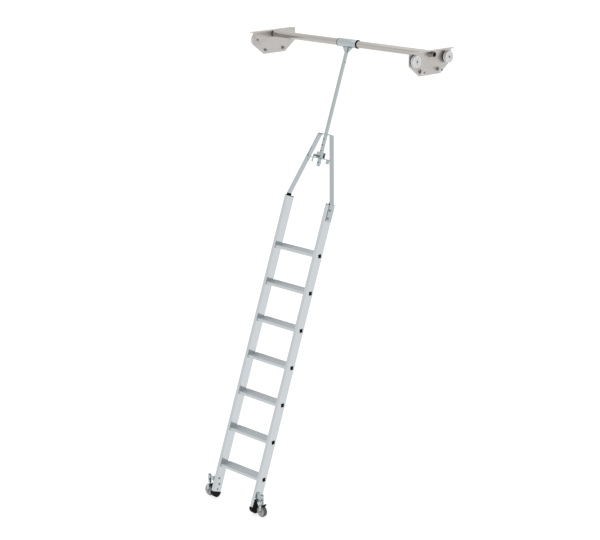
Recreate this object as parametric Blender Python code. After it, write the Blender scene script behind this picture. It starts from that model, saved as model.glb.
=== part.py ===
"""Overhead-hung aisle ladder: a twin trolley with a cross tube, a pole that
swings and slides along that tube, and a seven-tread aluminium ladder on two
sprung castors.

Metres, +Z up.  The origin is the middle of the cross tube's axis.  +X runs
along the tube to the climber's right, -Y is the climber's side.
"""
import math

import bmesh
import bpy
from mathutils import Matrix, Vector
from mathutils.geometry import tessellate_polygon

for old in list(bpy.data.objects):
    bpy.data.objects.remove(old, do_unlink=True)

MM = 0.001
GAP = 0.3 * MM                 # running gap between neighbouring pieces

# ---- whole ladder
LEAN = math.radians(70.0)      # from the horizontal
FLOOR_Z = -3139.0 * MM
TREAD_PITCH = 250.0 * MM       # vertical
TREADS = 7
LADDER_W = 425.0 * MM          # over the stiles
STILE_T = 25.0 * MM
STILE_D = 73.0 * MM
STILE_TOP = -1131.0 * MM       # along the ladder, from the tube axis
STILE_END = -3292.0 * MM
STILE_WALL = 2.2 * MM

# ---- cross tube and its ends
TUBE_R = 24.15 * MM
TUBE_WALL = 3.0 * MM
TUBE_END = 739.2 * MM
SPIGOT_R = 19.0 * MM
SPIGOT_WALL = 2.0 * MM
SPIGOT_END = 785.0 * MM
SPIGOT_START = 690.0 * MM
COLLAR_R = 22.0 * MM

# ---- trolley bracket
PLATE_X0 = 744.0 * MM          # inner face
PLATE_T = 4.0 * MM
PLATE_Y = 213.0 * MM
PLATE_TOP = 26.0 * MM
PLATE_SIDE_Z = -64.5 * MM
PLATE_LOW_Y = 108.0 * MM
PLATE_LOW_Z = -140.0 * MM
FLANGE_W = 32.0 * MM
BEND_R = 5.2 * MM

# ---- rollers
ROLLER_Y, ROLLER_Z, ROLLER_R = 164.5 * MM, -32.5 * MM, 40.5 * MM
ROLLER_GROOVE_R = 32.0 * MM
ROLLER_X0, ROLLER_X1 = 754.0 * MM, 779.5 * MM
GUIDE_Y, GUIDE_Z, GUIDE_R = 90.0 * MM, -112.0 * MM, 13.5 * MM
GUIDE_X0, GUIDE_X1 = 756.0 * MM, 775.0 * MM
AXLE_R = 5.0 * MM
GUIDE_BOLT_R = 4.0 * MM
BOLT_END = 784.0 * MM

# ---- pivot sleeve and pole
SLEEVE_R, SLEEVE_BORE_R, SLEEVE_HALF = 30.15 * MM, 27.2 * MM, 86.0 * MM
BUSH_R0 = TUBE_R + GAP
BUSH_FLANGE = 5.0 * MM
POLE_W, POLE_WALL = 20.0 * MM, 2.0 * MM
POLE_TOP, POLE_END = -30.6 * MM, -884.0 * MM
INDEX_PITCH = 42.0 * MM
INDEX_V = -816.5 * MM
STOP_V = INDEX_V - INDEX_PITCH
INDEX_R = 4.5 * MM

# ---- A-frame
STRUT_W, STRUT_T = 40.0 * MM, 6.0 * MM
BRIDGE_V = -652.0 * MM
BRIDGE_T = 6.0 * MM
STRUT_TOP_X = 57.0 * MM        # outer face at the top bridge
STRUT_BEND_V = -1129.0 * MM
STRUT_FOOT_V = -1247.0 * MM
STRUT_FOOT_REAR = 30.0 * MM     # the foot of the bar is wider at the back
STRUT_BOLT_V = (-1168.0 * MM, -1226.0 * MM)
STRUT_BOLT_Y = -7.0 * MM
PEG_V, PEG_R = STILE_TOP + 6.0 * MM, 2.7 * MM
CROSS_V, CROSS_T = -826.0 * MM, 5.0 * MM
TAB_W, TAB_H, TAB_T = 28.0 * MM, 28.0 * MM, 3.5 * MM

# ---- castors
CASTOR_X, CASTOR_Y = 268.0 * MM, -1119.0 * MM
WHEEL_R, WHEEL_W = 40.0 * MM, 32.0 * MM
HOUSING_R = 12.5 * MM
HOUSING_Z0, HOUSING_Z1 = -3041.0 * MM, -2981.0 * MM
HOUSING_NUT_R, HOUSING_NUT_H = 5.5 * MM, 7.0 * MM
CHANNEL_X = 14.0 * MM          # depth of the channel that holds the housing
STEM_R = 6.0 * MM

ROT = Matrix.Rotation(LEAN - math.pi / 2, 4, 'X')   # ladder frame -> world
ID = Matrix.Identity(4)


# --------------------------------------------------------------- materials
LOOKS = {   # colour (sRGB 0-255), roughness, metallic
    'aluminium': ((207, 212, 215), 0.42, 0.9),
    'tread': ((176, 181, 184), 0.5, 0.9),
    'zinc': ((183, 190, 192), 0.4, 0.85),
    'stainless': ((194, 190, 186), 0.42, 0.85),
    'nylon': ((236, 237, 238), 0.45, 0.0),
    'plastic': ((22, 22, 23), 0.5, 0.0),
    'rubber': ((28, 28, 29), 0.75, 0.0),
    'wheel': ((120, 120, 120), 0.6, 0.0),
}


def look(name):
    mat = bpy.data.materials.get(name)
    if mat is None:
        (r, g, b), rough, metal = LOOKS[name]
        mat = bpy.data.materials.new(name)
        mat.use_nodes = True
        p = mat.node_tree.nodes['Principled BSDF']
        lin = [((c / 255 + 0.055) / 1.055) ** 2.4 for c in (r, g, b)]
        p.inputs['Base Color'].default_value = (*lin, 1)
        p.inputs['Roughness'].default_value = rough
        p.inputs['Metallic'].default_value = metal
    return mat


# --------------------------------------------------------------- helpers
def clean(bm):
    bmesh.ops.remove_doubles(bm, verts=bm.verts, dist=1e-6)
    bmesh.ops.recalc_face_normals(bm, faces=bm.faces)


def make(name, bm, frame=ID, origin=(0, 0, 0), mat=None):
    """Mesh object from bm (coordinates in `frame`), origin at a world point."""
    clean(bm)
    bm.transform(frame)
    bm.transform(Matrix.Translation(-Vector(origin)))
    me = bpy.data.meshes.new(name)
    bm.to_mesh(me)
    bm.free()
    me.shade_smooth()
    me.set_sharp_from_angle(angle=math.radians(35))
    if mat:
        me.materials.append(look(mat))
    ob = bpy.data.objects.new(name, me)
    ob.location = origin
    bpy.context.scene.collection.objects.link(ob)
    return ob


def axis_map(axis):
    """2-D profile (a, b) and depth d -> (x, y, z)."""
    return {'X': lambda a, b, d: (d, a, b),
            'Y': lambda a, b, d: (a, d, b),
            'Z': lambda a, b, d: (a, b, d)}[axis]


def extrude(bm, loops, axis, d0, d1):
    """Closed prism from an outer loop and optional holes, along one axis."""
    to = axis_map(axis)
    flat = [p for lp in loops for p in lp]
    tris = tessellate_polygon([[Vector((p[0], p[1], 0)) for p in lp] for lp in loops])
    low = [bm.verts.new(to(a, b, d0)) for a, b in flat]
    high = [bm.verts.new(to(a, b, d1)) for a, b in flat]
    for t in tris:
        bm.faces.new([low[i] for i in t])
        bm.faces.new([high[i] for i in reversed(t)])
    k = 0
    for lp in loops:
        n = len(lp)
        for i in range(n):
            j = (i + 1) % n
            bm.faces.new([low[k + i], low[k + j], high[k + j], high[k + i]])
        k += n


def revolve(bm, prof, axis, centre, seg, ring=True):
    """Turn (radius, along) points round an axis; ring=False closes on it."""
    to = axis_map(axis)
    ca, cb = [c for i, c in enumerate(centre) if 'XYZ'[i] != axis]
    rows = []
    for r, d in prof:
        if r < 1e-9:
            rows.append([bm.verts.new(to(ca, cb, d))])
        else:
            rows.append([bm.verts.new(to(ca + r * math.cos(2 * math.pi * i / seg),
                                         cb + r * math.sin(2 * math.pi * i / seg), d))
                         for i in range(seg)])
    pairs = list(zip(rows, rows[1:])) + ([(rows[-1], rows[0])] if ring else [])
    for p, q in pairs:
        for i in range(seg):
            j = (i + 1) % seg
            if len(p) == 1 and len(q) == 1:
                continue
            if len(p) == 1:
                bm.faces.new([p[0], q[j], q[i]])
            elif len(q) == 1:
                bm.faces.new([p[i], p[j], q[0]])
            else:
                bm.faces.new([p[i], p[j], q[j], q[i]])


def rod(bm, axis, centre, r, d0, d1, seg=16):
    revolve(bm, [(0, d0), (r, d0), (r, d1), (0, d1)], axis, centre, seg, ring=False)


def block(bm, x0, x1, y0, y1, z0, z1):
    extrude(bm, [[(x0, y0), (x1, y0), (x1, y1), (x0, y1)]], 'Z', z0, z1)


def rect(a0, a1, b0, b1, c=0.0):
    """Rectangle loop, corners cut by c."""
    if c <= 0:
        return [(a0, b0), (a1, b0), (a1, b1), (a0, b1)]
    return [(a0 + c, b0), (a1 - c, b0), (a1, b0 + c), (a1, b1 - c),
            (a1 - c, b1), (a0 + c, b1), (a0, b1 - c), (a0, b0 + c)]


def circle(a, b, r, seg=16):
    return [(a + r * math.cos(2 * math.pi * i / seg), b + r * math.sin(2 * math.pi * i / seg))
            for i in range(seg)]


def cutter(name, target, fill, frame=ID, kind='DIFFERENCE'):
    """Cut `fill` out of target, or weld it on with kind='UNION'."""
    bm = bmesh.new()
    fill(bm)
    c = make(name, bm, frame)
    c.hide_render = True
    c.display_type = 'WIRE'
    m = target.modifiers.new(name, 'BOOLEAN')
    m.operation = kind
    m.solver = 'EXACT'
    m.object = c
    return c


def ladder_point(v, y):
    """Ladder frame (along, rearward) -> world (Y, Z)."""
    p = ROT @ Vector((0, y, v))
    return p.y, p.z


# --------------------------------------------------------------- trolley
bm = bmesh.new()
extrude(bm, [circle(0, 0, TUBE_R, 32), circle(0, 0, TUBE_R - TUBE_WALL, 32)], 'X', -TUBE_END, TUBE_END)
make('cross_tube', bm, mat='stainless')

for side, s in (('left', -1), ('right', 1)):
    def span(a, b):
        return (s * a, s * b) if s > 0 else (s * b, s * a)

    bm = bmesh.new()
    extrude(bm, [circle(0, 0, COLLAR_R, 24), circle(0, 0, SPIGOT_R + GAP, 24)], 'X',
            *span(TUBE_END + GAP, PLATE_X0 - GAP))
    make('tube_collar_' + side, bm, mat='plastic')

    # bent plate: upright web and outward top flange as one sheet
    x0, x1, x2 = s * PLATE_X0, s * (PLATE_X0 + PLATE_T), s * (PLATE_X0 + PLATE_T + FLANGE_W)
    k = BEND_R * 0.45
    sheet = [(x0, PLATE_LOW_Z), (x1, PLATE_LOW_Z), (x1, PLATE_TOP - PLATE_T), (x2, PLATE_TOP - PLATE_T),
             (x2, PLATE_TOP), (x0 + s * BEND_R, PLATE_TOP), (x0 + s * k * 0.6, PLATE_TOP - k * 0.6),
             (x0, PLATE_TOP - BEND_R)]
    bm = bmesh.new()
    extrude(bm, [sheet], 'Y', -PLATE_Y, PLATE_Y)
    plate = make('trolley_plate_' + side, bm, mat='stainless')

    def holes(bm, s=s):
        a, b = sorted((s * (PLATE_X0 - 0.01), s * (PLATE_X0 + PLATE_T + 0.006)))
        e = 0.01
        for q in (-1, 1):
            extrude(bm, [[(q * PLATE_LOW_Y, PLATE_LOW_Z), (q * PLATE_Y, PLATE_SIDE_Z),
                          (q * (PLATE_Y + e), PLATE_SIDE_Z), (q * (PLATE_Y + e), PLATE_LOW_Z - e),
                          (q * PLATE_LOW_Y, PLATE_LOW_Z - e)]], 'X', a, b)
            rod(bm, 'X', (0, q * ROLLER_Y, ROLLER_Z), AXLE_R + GAP, a, b, 12)
            rod(bm, 'X', (0, q * GUIDE_Y, GUIDE_Z), GUIDE_BOLT_R + GAP, a, b, 10)
        rod(bm, 'X', (0, 0, 0), SPIGOT_R - 1 * MM, a, b, 24)
    cutter('cut_plate_' + side, plate, holes)

    # the spigot is welded through the plate and plugs into the cross tube
    cutter('weld_spigot_' + side, plate,
           lambda bmx: extrude(bmx, [circle(0, 0, SPIGOT_R, 24), circle(0, 0, SPIGOT_R - SPIGOT_WALL, 24)], 'X',
                               *span(SPIGOT_START, SPIGOT_END)), kind='UNION')

    face, out = PLATE_X0, PLATE_X0 + PLATE_T
    for end, q in (('front', -1), ('rear', 1)):
        # roller axle: nut on the inner face, shank with a spacer, head outside the roller
        prof = [(0, face - 5.5 * MM), (7.0 * MM, face - 5.5 * MM), (7.0 * MM, face - GAP), (AXLE_R, face - GAP),
                (AXLE_R, out + GAP), (9.0 * MM, out + GAP), (9.0 * MM, ROLLER_X0 - GAP), (AXLE_R, ROLLER_X0 - GAP),
                (AXLE_R, ROLLER_X1 + GAP), (7.0 * MM, ROLLER_X1 + GAP), (7.0 * MM, BOLT_END), (0, BOLT_END)]
        bm = bmesh.new()
        revolve(bm, [(r, s * d) for r, d in prof], 'X', (0, q * ROLLER_Y, ROLLER_Z), 10, ring=False)
        make('roller_axle_%s_%s' % (side, end), bm, mat='zinc')
        prof = [(0, face - 11 * MM), (10.0 * MM, face - 11 * MM), (10.0 * MM, face - GAP), (GUIDE_BOLT_R, face - GAP),
                (GUIDE_BOLT_R, out + GAP), (7.0 * MM, out + GAP), (7.0 * MM, GUIDE_X0 - GAP),
                (GUIDE_BOLT_R, GUIDE_X0 - GAP), (GUIDE_BOLT_R, GUIDE_X1 + GAP), (6.5 * MM, GUIDE_X1 + GAP),
                (6.5 * MM, BOLT_END), (0, BOLT_END)]
        bm = bmesh.new()
        revolve(bm, [(r, s * d) for r, d in prof], 'X', (0, q * GUIDE_Y, GUIDE_Z), 8, ring=False)
        make('guide_axle_%s_%s' % (side, end), bm, mat='zinc')

    for end, q in (('front', -1), ('rear', 1)):
        c = (s * (ROLLER_X0 + ROLLER_X1) / 2, q * ROLLER_Y, ROLLER_Z)
        bm = bmesh.new()
        prof = [(AXLE_R + GAP, ROLLER_X0), (ROLLER_R, ROLLER_X0), (ROLLER_R, ROLLER_X0 + 5 * MM),
                (ROLLER_GROOVE_R, ROLLER_X0 + 9 * MM), (ROLLER_GROOVE_R, ROLLER_X1 - 9 * MM),
                (ROLLER_R, ROLLER_X1 - 5 * MM), (ROLLER_R, ROLLER_X1), (AXLE_R + GAP, ROLLER_X1)]
        revolve(bm, [(r, s * d) for r, d in prof], 'X', c, 24)
        make('roller_%s_%s' % (side, end), bm, origin=c, mat='nylon')

        c = (s * (GUIDE_X0 + GUIDE_X1) / 2, q * GUIDE_Y, GUIDE_Z)
        bm = bmesh.new()
        prof = [(GUIDE_BOLT_R + GAP, GUIDE_X0), (GUIDE_R, GUIDE_X0), (GUIDE_R, GUIDE_X1),
                (GUIDE_BOLT_R + GAP, GUIDE_X1)]
        revolve(bm, [(r, s * d) for r, d in prof], 'X', c, 20)
        make('guide_%s_%s' % (side, end), bm, origin=c, mat='nylon')

# --------------------------------------------------------------- pivot sleeve and pole
for side, s in (('left', -1), ('right', 1)):
    prof = [(BUSH_R0, SLEEVE_HALF - 30 * MM), (SLEEVE_BORE_R - GAP, SLEEVE_HALF - 30 * MM),
            (SLEEVE_BORE_R - GAP, SLEEVE_HALF + GAP), (SLEEVE_R, SLEEVE_HALF + GAP),
            (SLEEVE_R, SLEEVE_HALF + BUSH_FLANGE), (BUSH_R0, SLEEVE_HALF + BUSH_FLANGE)]
    bm = bmesh.new()
    revolve(bm, [(r, s * d) for r, d in prof], 'X', (0, 0, 0), 28)
    make('sleeve_bush_' + side, bm, mat='plastic')

bm = bmesh.new()
extrude(bm, [circle(0, 0, SLEEVE_R, 32), circle(0, 0, SLEEVE_BORE_R, 32)], 'X', -SLEEVE_HALF, SLEEVE_HALF)
sleeve = make('pivot_sleeve', bm, mat='zinc')



def gussets(bm):
    """Two webs welded under the sleeve, one each side of the pole."""
    g0 = POLE_W / 2 + GAP
    for s in (-1, 1):
        extrude(bm, [[(s * g0, -28.5 * MM), (s * 44 * MM, -28.5 * MM), (s * 44 * MM, -35 * MM),
                      (s * g0, -72 * MM)]], 'Y', -2.5 * MM, 2.5 * MM)


cutter('weld_gussets', sleeve, gussets, ROT, kind='UNION')

h = POLE_W / 2
bm = bmesh.new()
extrude(bm, [rect(-h, h, -h, h, 1.4 * MM), rect(-h + POLE_WALL, h - POLE_WALL, -h + POLE_WALL, h - POLE_WALL)],
        'Z', POLE_END, POLE_TOP)
pole = make('hanger_pole', bm, ROT, mat='zinc')


def index_holes(bm):
    for i in (0, 1, 2, 3):
        rod(bm, 'Y', (0, 0, INDEX_V + i * INDEX_PITCH), INDEX_R + 0.5 * MM, -0.02, 0.02, 8)


def stop_bolt(bm):
    """Bolt and nut through the foot of the pole, so that the ladder can't drop off it."""
    prof = [(0, -h - 4 * MM), (6.5 * MM, -h - 4 * MM), (6.5 * MM, -h + 0.5 * MM), (4 * MM, -h + 0.5 * MM),
            (4 * MM, h - 0.5 * MM), (7.5 * MM, h - 0.5 * MM), (7.5 * MM, h + 6.5 * MM), (4 * MM, h + 6.5 * MM),
            (4 * MM, h + 9 * MM), (0, h + 9 * MM)]
    revolve(bm, prof, 'Y', (0, 0, STOP_V), 10, ring=False)


cutter('cut_pole', pole, index_holes, ROT)
cutter('weld_stop', pole, stop_bolt, ROT, kind='UNION')

bm = bmesh.new()
revolve(bm, [(0, h + GAP), (4.5 * MM, h + GAP), (4.5 * MM, h + 3.5 * MM), (0, h + 3.5 * MM)], 'X',
        (0, 0, -135 * MM), 12, ring=False)
make('pole_stop_screw', bm, ROT, mat='zinc')

# --------------------------------------------------------------- A-frame on the ladder head
LX = LADDER_W / 2
run = STRUT_BEND_V - BRIDGE_V
tilt = (LX + STRUT_T + GAP - STRUT_TOP_X) / -run       # outward per unit down
ct = STRUT_T * math.sqrt(1 + tilt * tilt)              # thickness measured along X


def strut_outer(v):
    return STRUT_TOP_X + (BRIDGE_V - v) * tilt if v > STRUT_BEND_V else LX + STRUT_T + GAP


for side, s in (('left', -1), ('right', 1)):
    bm = bmesh.new()
    # side view outline (across, along): a bar bent once where it meets the stile
    xo0, xo1 = STRUT_TOP_X, LX + STRUT_T + GAP
    kb = STRUT_T * math.tan(math.atan(tilt) / 2)
    bar = [(s * (xo0 - ct), BRIDGE_V), (s * xo0, BRIDGE_V), (s * xo1, STRUT_BEND_V), (s * xo1, STRUT_FOOT_V),
           (s * (xo1 - STRUT_T), STRUT_FOOT_V), (s * (xo1 - STRUT_T), STRUT_BEND_V - kb)]
    extrude(bm, [bar], 'Y', -STRUT_W / 2, STRUT_FOOT_REAR)
    strut = make('strut_' + side, bm, ROT, mat='zinc')

    def bolt_holes(bm, s=s):
        for v in STRUT_BOLT_V:
            rod(bm, 'X', (0, STRUT_BOLT_Y, v), 4.5 * MM, *sorted((s * 0.20, s * 0.23)), 8)
        block(bm, *sorted((0, s * 0.25)), STRUT_W / 2, 0.04, STRUT_BEND_V - 4 * MM, BRIDGE_V + 0.01)
    cutter('cut_strut_' + side, strut, bolt_holes, ROT)
    # end of a small bolt, which stands out behind the bar at its bend
    cutter('weld_peg_' + side, strut,
           lambda b, s=s: rod(b, 'Y', (s * (strut_outer(PEG_V) - ct / 2), 0, PEG_V), PEG_R, 15 * MM, 30 * MM, 8), ROT,
           kind='UNION')

# the bridge sits between the bars' heads and lets the pole pass
bm = bmesh.new()
bx = STRUT_TOP_X - ct - GAP
hp = POLE_W / 2 + 0.6 * MM
extrude(bm, [rect(-bx, bx, -STRUT_W / 2, STRUT_W / 2), rect(-hp, hp, -hp, hp)], 'Z', BRIDGE_V - BRIDGE_T, BRIDGE_V)
make('top_bridge', bm, ROT, mat='zinc')

# mid cross plate with a turned-down tab at each end of its front edge
bm = bmesh.new()
xa = strut_outer(CROSS_V) - ct - 1.0 * MM
xb = strut_outer(CROSS_V - CROSS_T) - ct - 1.0 * MM
extrude(bm, [[(-xa, CROSS_V), (xa, CROSS_V), (xb, CROSS_V - CROSS_T), (-xb, CROSS_V - CROSS_T)]], 'Y', -STRUT_W / 2,
        STRUT_W / 2)
cross = make('cross_plate', bm, ROT, mat='zinc')


def tabs(bm):
    for s in (-1, 1):
        x0, x1 = sorted((s * (xa - TAB_W), s * (xa - 0.5 * MM)))
        block(bm, x0, x1, -STRUT_W / 2 - 0.3 * MM, -STRUT_W / 2 + TAB_T, CROSS_V - CROSS_T - TAB_H, CROSS_V - 2 * MM)


cutter('weld_tabs', cross, tabs, ROT, kind='UNION')
cutter('cut_cross', cross, lambda b: block(b, -hp, hp, -hp, hp, CROSS_V - 0.02, CROSS_V + 0.01), ROT)

# U-shaped latch round the pole, standing on the cross plate
bm = bmesh.new()
u0, u1, t = CROSS_V + GAP, -784 * MM, 3.5 * MM
y0 = 26 * MM
extrude(bm, [[(-y0, u0), (y0, u0), (y0, u1), (y0 - t, u1), (y0 - t, u0 + t), (-y0 + t, u0 + t), (-y0 + t, u1),
              (-y0, u1)]], 'X', -20 * MM, 20 * MM)
latch = make('latch_bracket', bm, ROT, mat='zinc')


def latch_cut(bm):
    block(bm, -hp, hp, -hp, hp, u0 - 0.01, u0 + 0.01)
    rod(bm, 'Y', (0, 0, INDEX_V), 3.3 * MM + INDEX_R, -0.04, -0.0205, 16)


# the extruder wants the U profile as (rearward, along)
cutter('cut_latch', latch, latch_cut, ROT)

bm = bmesh.new()
extrude(bm, [circle(0, INDEX_V, 3 * MM + INDEX_R, 16), circle(0, INDEX_V, INDEX_R + GAP, 16)], 'Y', -46 * MM, -21 * MM)
make('index_housing', bm, ROT, mat='zinc')

# at rest the bolt is pulled out and parked, with its tip clear of the pole
c = ROT @ Vector((0, -30 * MM, INDEX_V))
bm = bmesh.new()
tip = -h - 1 * MM
revolve(bm, [(0, -70 * MM), (9 * MM, -70 * MM), (9 * MM, -54.5 * MM), (INDEX_R, -54.5 * MM), (INDEX_R, tip - 2 * MM),
             (2.5 * MM, tip), (0, tip)], 'Y', (0, 0, INDEX_V), 16, ring=False)
index_bolt = make('index_bolt', bm, ROT, origin=c, mat='zinc')
cutter('weld_lever', index_bolt,
       lambda b: block(b, -4 * MM, 4 * MM, -73.5 * MM, -69 * MM, INDEX_V - 49 * MM, INDEX_V + 5 * MM), ROT, kind='UNION')


def strut_inner(v):
    return strut_outer(v) - ct


# --------------------------------------------------------------- stiles
BRACKET_BOLTS = ((-1101.0 * MM, -2995.0 * MM), (-1101.5 * MM, -3039.0 * MM))   # world (Y, Z)
PLUG_HALF = 13.2 * MM
TREAD_TOP_TO_PLUG = 15.5 * MM
PLUG_BACK = 10.6 * MM          # behind the stile's centre line


def plug_at(k):
    """World (Y, Z) of the end of tread k (1 = lowest)."""
    z = FLOOR_Z + TREAD_PITCH * k - TREAD_TOP_TO_PLUG
    y = z / math.tan(LEAN) + PLUG_BACK
    return y, z


for side, s in (('left', -1), ('right', 1)):
    bm = bmesh.new()
    x0, x1 = sorted((s * (LX - STILE_T), s * LX))
    d = STILE_D / 2
    extrude(bm, [rect(x0, x1, -d, d, 1.5 * MM),
                 rect(x0 + STILE_WALL, x1 - STILE_WALL, -d + STILE_WALL, d - STILE_WALL)], 'Z', STILE_END, STILE_TOP)
    stile = make('stile_' + side, bm, ROT, mat='aluminium')

    def openings(bm, s=s):
        a, b = sorted((s * (LX - 8 * MM), s * (LX + 5 * MM)))
        for k in range(1, TREADS + 1):
            y, z = plug_at(k)
            g = PLUG_HALF + GAP
            block(bm, *sorted((s * (LX - 0.04), s * (LX + 0.01))), y - g, y + g, z - g, z + g)
        for y, z in BRACKET_BOLTS:
            rod(bm, 'X', (0, y, z), 4.5 * MM, *sorted((s * (LX - 0.04), s * (LX + 0.01))), 8)
        rod(bm, 'X', (0, -1119.5 * MM, -3072 * MM), 4 * MM, *sorted((s * (LX - 0.03), s * (LX - 0.018))), 8)
        for v in STRUT_BOLT_V:
            y, z = ladder_point(v, STRUT_BOLT_Y)
            rod(bm, 'X', (0, y, z), 4.5 * MM, a, b, 8)
    cutter('cut_stile_' + side, stile, openings)

    bm = bmesh.new()
    x0, x1 = sorted((s * (LX - STILE_T + 0.5 * MM), s * (LX - 4 * MM)))
    extrude(bm, [rect(x0, x1, -d + 0.5 * MM, d - 0.5 * MM, 1.5 * MM)], 'Z', STILE_TOP + GAP, STILE_TOP + 5 * MM)
    cap = make('stile_cap_' + side, bm, ROT, mat='plastic')

    def spacer(bm, s=s):
        """Raised block of the cap that the bent bar leans on."""
        va, vb, e = STILE_TOP + 2 * MM, STILE_TOP + 19 * MM, 0.6 * MM
        extrude(bm, [[(s * (strut_inner(va) - 10 * MM), va), (s * (strut_inner(va) - 4 * MM), va),
                      (s * (strut_inner(va + 4 * MM) - e), va + 4 * MM),
                      (s * (strut_inner(vb) - e), vb), (s * (strut_inner(vb) - 5 * MM), vb)]],
                'Y', -19 * MM, 19 * MM)
    cutter('weld_spacer_' + side, cap, spacer, ROT, kind='UNION')

# --------------------------------------------------------------- treads
TX = LX - STILE_T - GAP
for k in range(1, TREADS + 1):
    y, z = plug_at(k)

    def P(a, b):
        return (y + a * MM, z + b * MM)
    outer = [P(-39.4, 15.5), P(45.5, 15.5), P(45.5, 2.0), P(42.9, 2.0), P(42.9, 12.9), P(15, 12.6), P(15, -14.5),
             P(-15, -14.5), P(-15, 12.5), P(-36.8, 13.0), P(-36.8, -5.0), P(-39.4, -5.0)]
    hollow = [P(-13.0, -12.5), P(13.0, -12.5), P(13.0, 12.0), P(-13.0, 12.0)]
    bm = bmesh.new()
    extrude(bm, [outer, hollow], 'X', -TX, TX)
    tread = make('tread_%d' % k, bm, mat='tread')

    def ends(bm, y=y, z=z):
        """The box section runs on through both stile walls and is plugged there."""
        for s in (-1, 1):
            block(bm, *sorted((s * (TX - 3 * MM), s * (LX + 1.2 * MM))),
                  y - PLUG_HALF, y + PLUG_HALF, z - PLUG_HALF, z + PLUG_HALF)
    cutter('weld_ends_%d' % k, tread, ends, kind='UNION')
    cutter('vent_%d' % k, tread,
           lambda b, y=y, z=z: rod(b, 'Z', (0, y, 0), 2.5 * MM, z - 20 * MM, z - 8 * MM, 8))

# --------------------------------------------------------------- strut bolts
for side, s in (('left', -1), ('right', 1)):
    # nut plate inside the stile, with the two bolts that hold the bar
    bm = bmesh.new()
    block(bm, *sorted((s * (LX - STILE_WALL - 5 * MM), s * (LX - STILE_WALL - GAP))), STRUT_BOLT_Y - 11 * MM,
          STRUT_BOLT_Y + 11 * MM, STRUT_BOLT_V[1] - 11 * MM, STRUT_BOLT_V[0] + 11 * MM)
    nut_plate = make('strut_bolts_' + side, bm, ROT, mat='zinc')

    def bolts(bm, s=s):
        for v in STRUT_BOLT_V:
            o = LX + STRUT_T + GAP
            prof = [(0, LX - 5 * MM), (4 * MM, LX - 5 * MM), (4 * MM, o + GAP), (8 * MM, o + GAP), (8 * MM, o + 3 * MM),
                    (5.5 * MM, o + 4.6 * MM), (0, o + 4.6 * MM)]
            revolve(bm, [(r, s * q) for r, q in prof], 'X', (0, STRUT_BOLT_Y, v), 10, ring=False)
    cutter('weld_bolts_' + side, nut_plate, bolts, ROT, kind='UNION')

# --------------------------------------------------------------- feet
for side, s in (('left', -1), ('right', 1)):
    d = STILE_D / 2
    bm = bmesh.new()
    # bowl profile in the ladder's side view (rearward, along): level tread, rounded toe and heel
    lo = STILE_END
    bowl = [(-d - 2 * MM, lo + 5 * MM), (-d - 2.5 * MM, lo - 3 * MM), (-d + 1 * MM, lo - 13 * MM),
            (-d + 9 * MM, lo - 22 * MM), (-d + 20 * MM, lo - 30 * MM), (-3 * MM, lo - 35.5 * MM),
            (8 * MM, lo - 36.5 * MM), (19 * MM, lo - 34 * MM), (28 * MM, lo - 27 * MM), (d - 1 * MM, lo - 16 * MM),
            (d + 2 * MM, lo - 5 * MM), (d + 2 * MM, lo + 5 * MM)]
    x0, x1 = sorted((s * (LX - STILE_T - 2.3 * MM), s * (LX + 2.3 * MM)))
    extrude(bm, [bowl], 'X', x0, x1)
    foot = make('foot_' + side, bm, ROT, mat='rubber')

    def lug(bm, s=s, lo=lo, d=d):
        """Side lug that climbs the stile's outer face."""
        q = LX + GAP
        extrude(bm, [[(-d - 1 * MM, lo + 4 * MM), (-d + 6 * MM, lo + 62 * MM), (-d + 11 * MM, lo + 64 * MM),
                      (d - 16 * MM, lo + 10 * MM), (d - 10 * MM, lo + 4 * MM)]], 'X',
                *sorted((s * q, s * (q + 7 * MM))))
    cutter('weld_lug_' + side, foot, lug, ROT, kind='UNION')

    def pocket(bm, s=s, lo=lo, d=d):
        a, b = sorted((s * (LX - STILE_T - GAP), s * (LX + GAP)))
        block(bm, a, b, -d - GAP, d + GAP, lo - GAP, lo + 0.1)
    cutter('cut_foot_' + side, foot, pocket, ROT)

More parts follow.
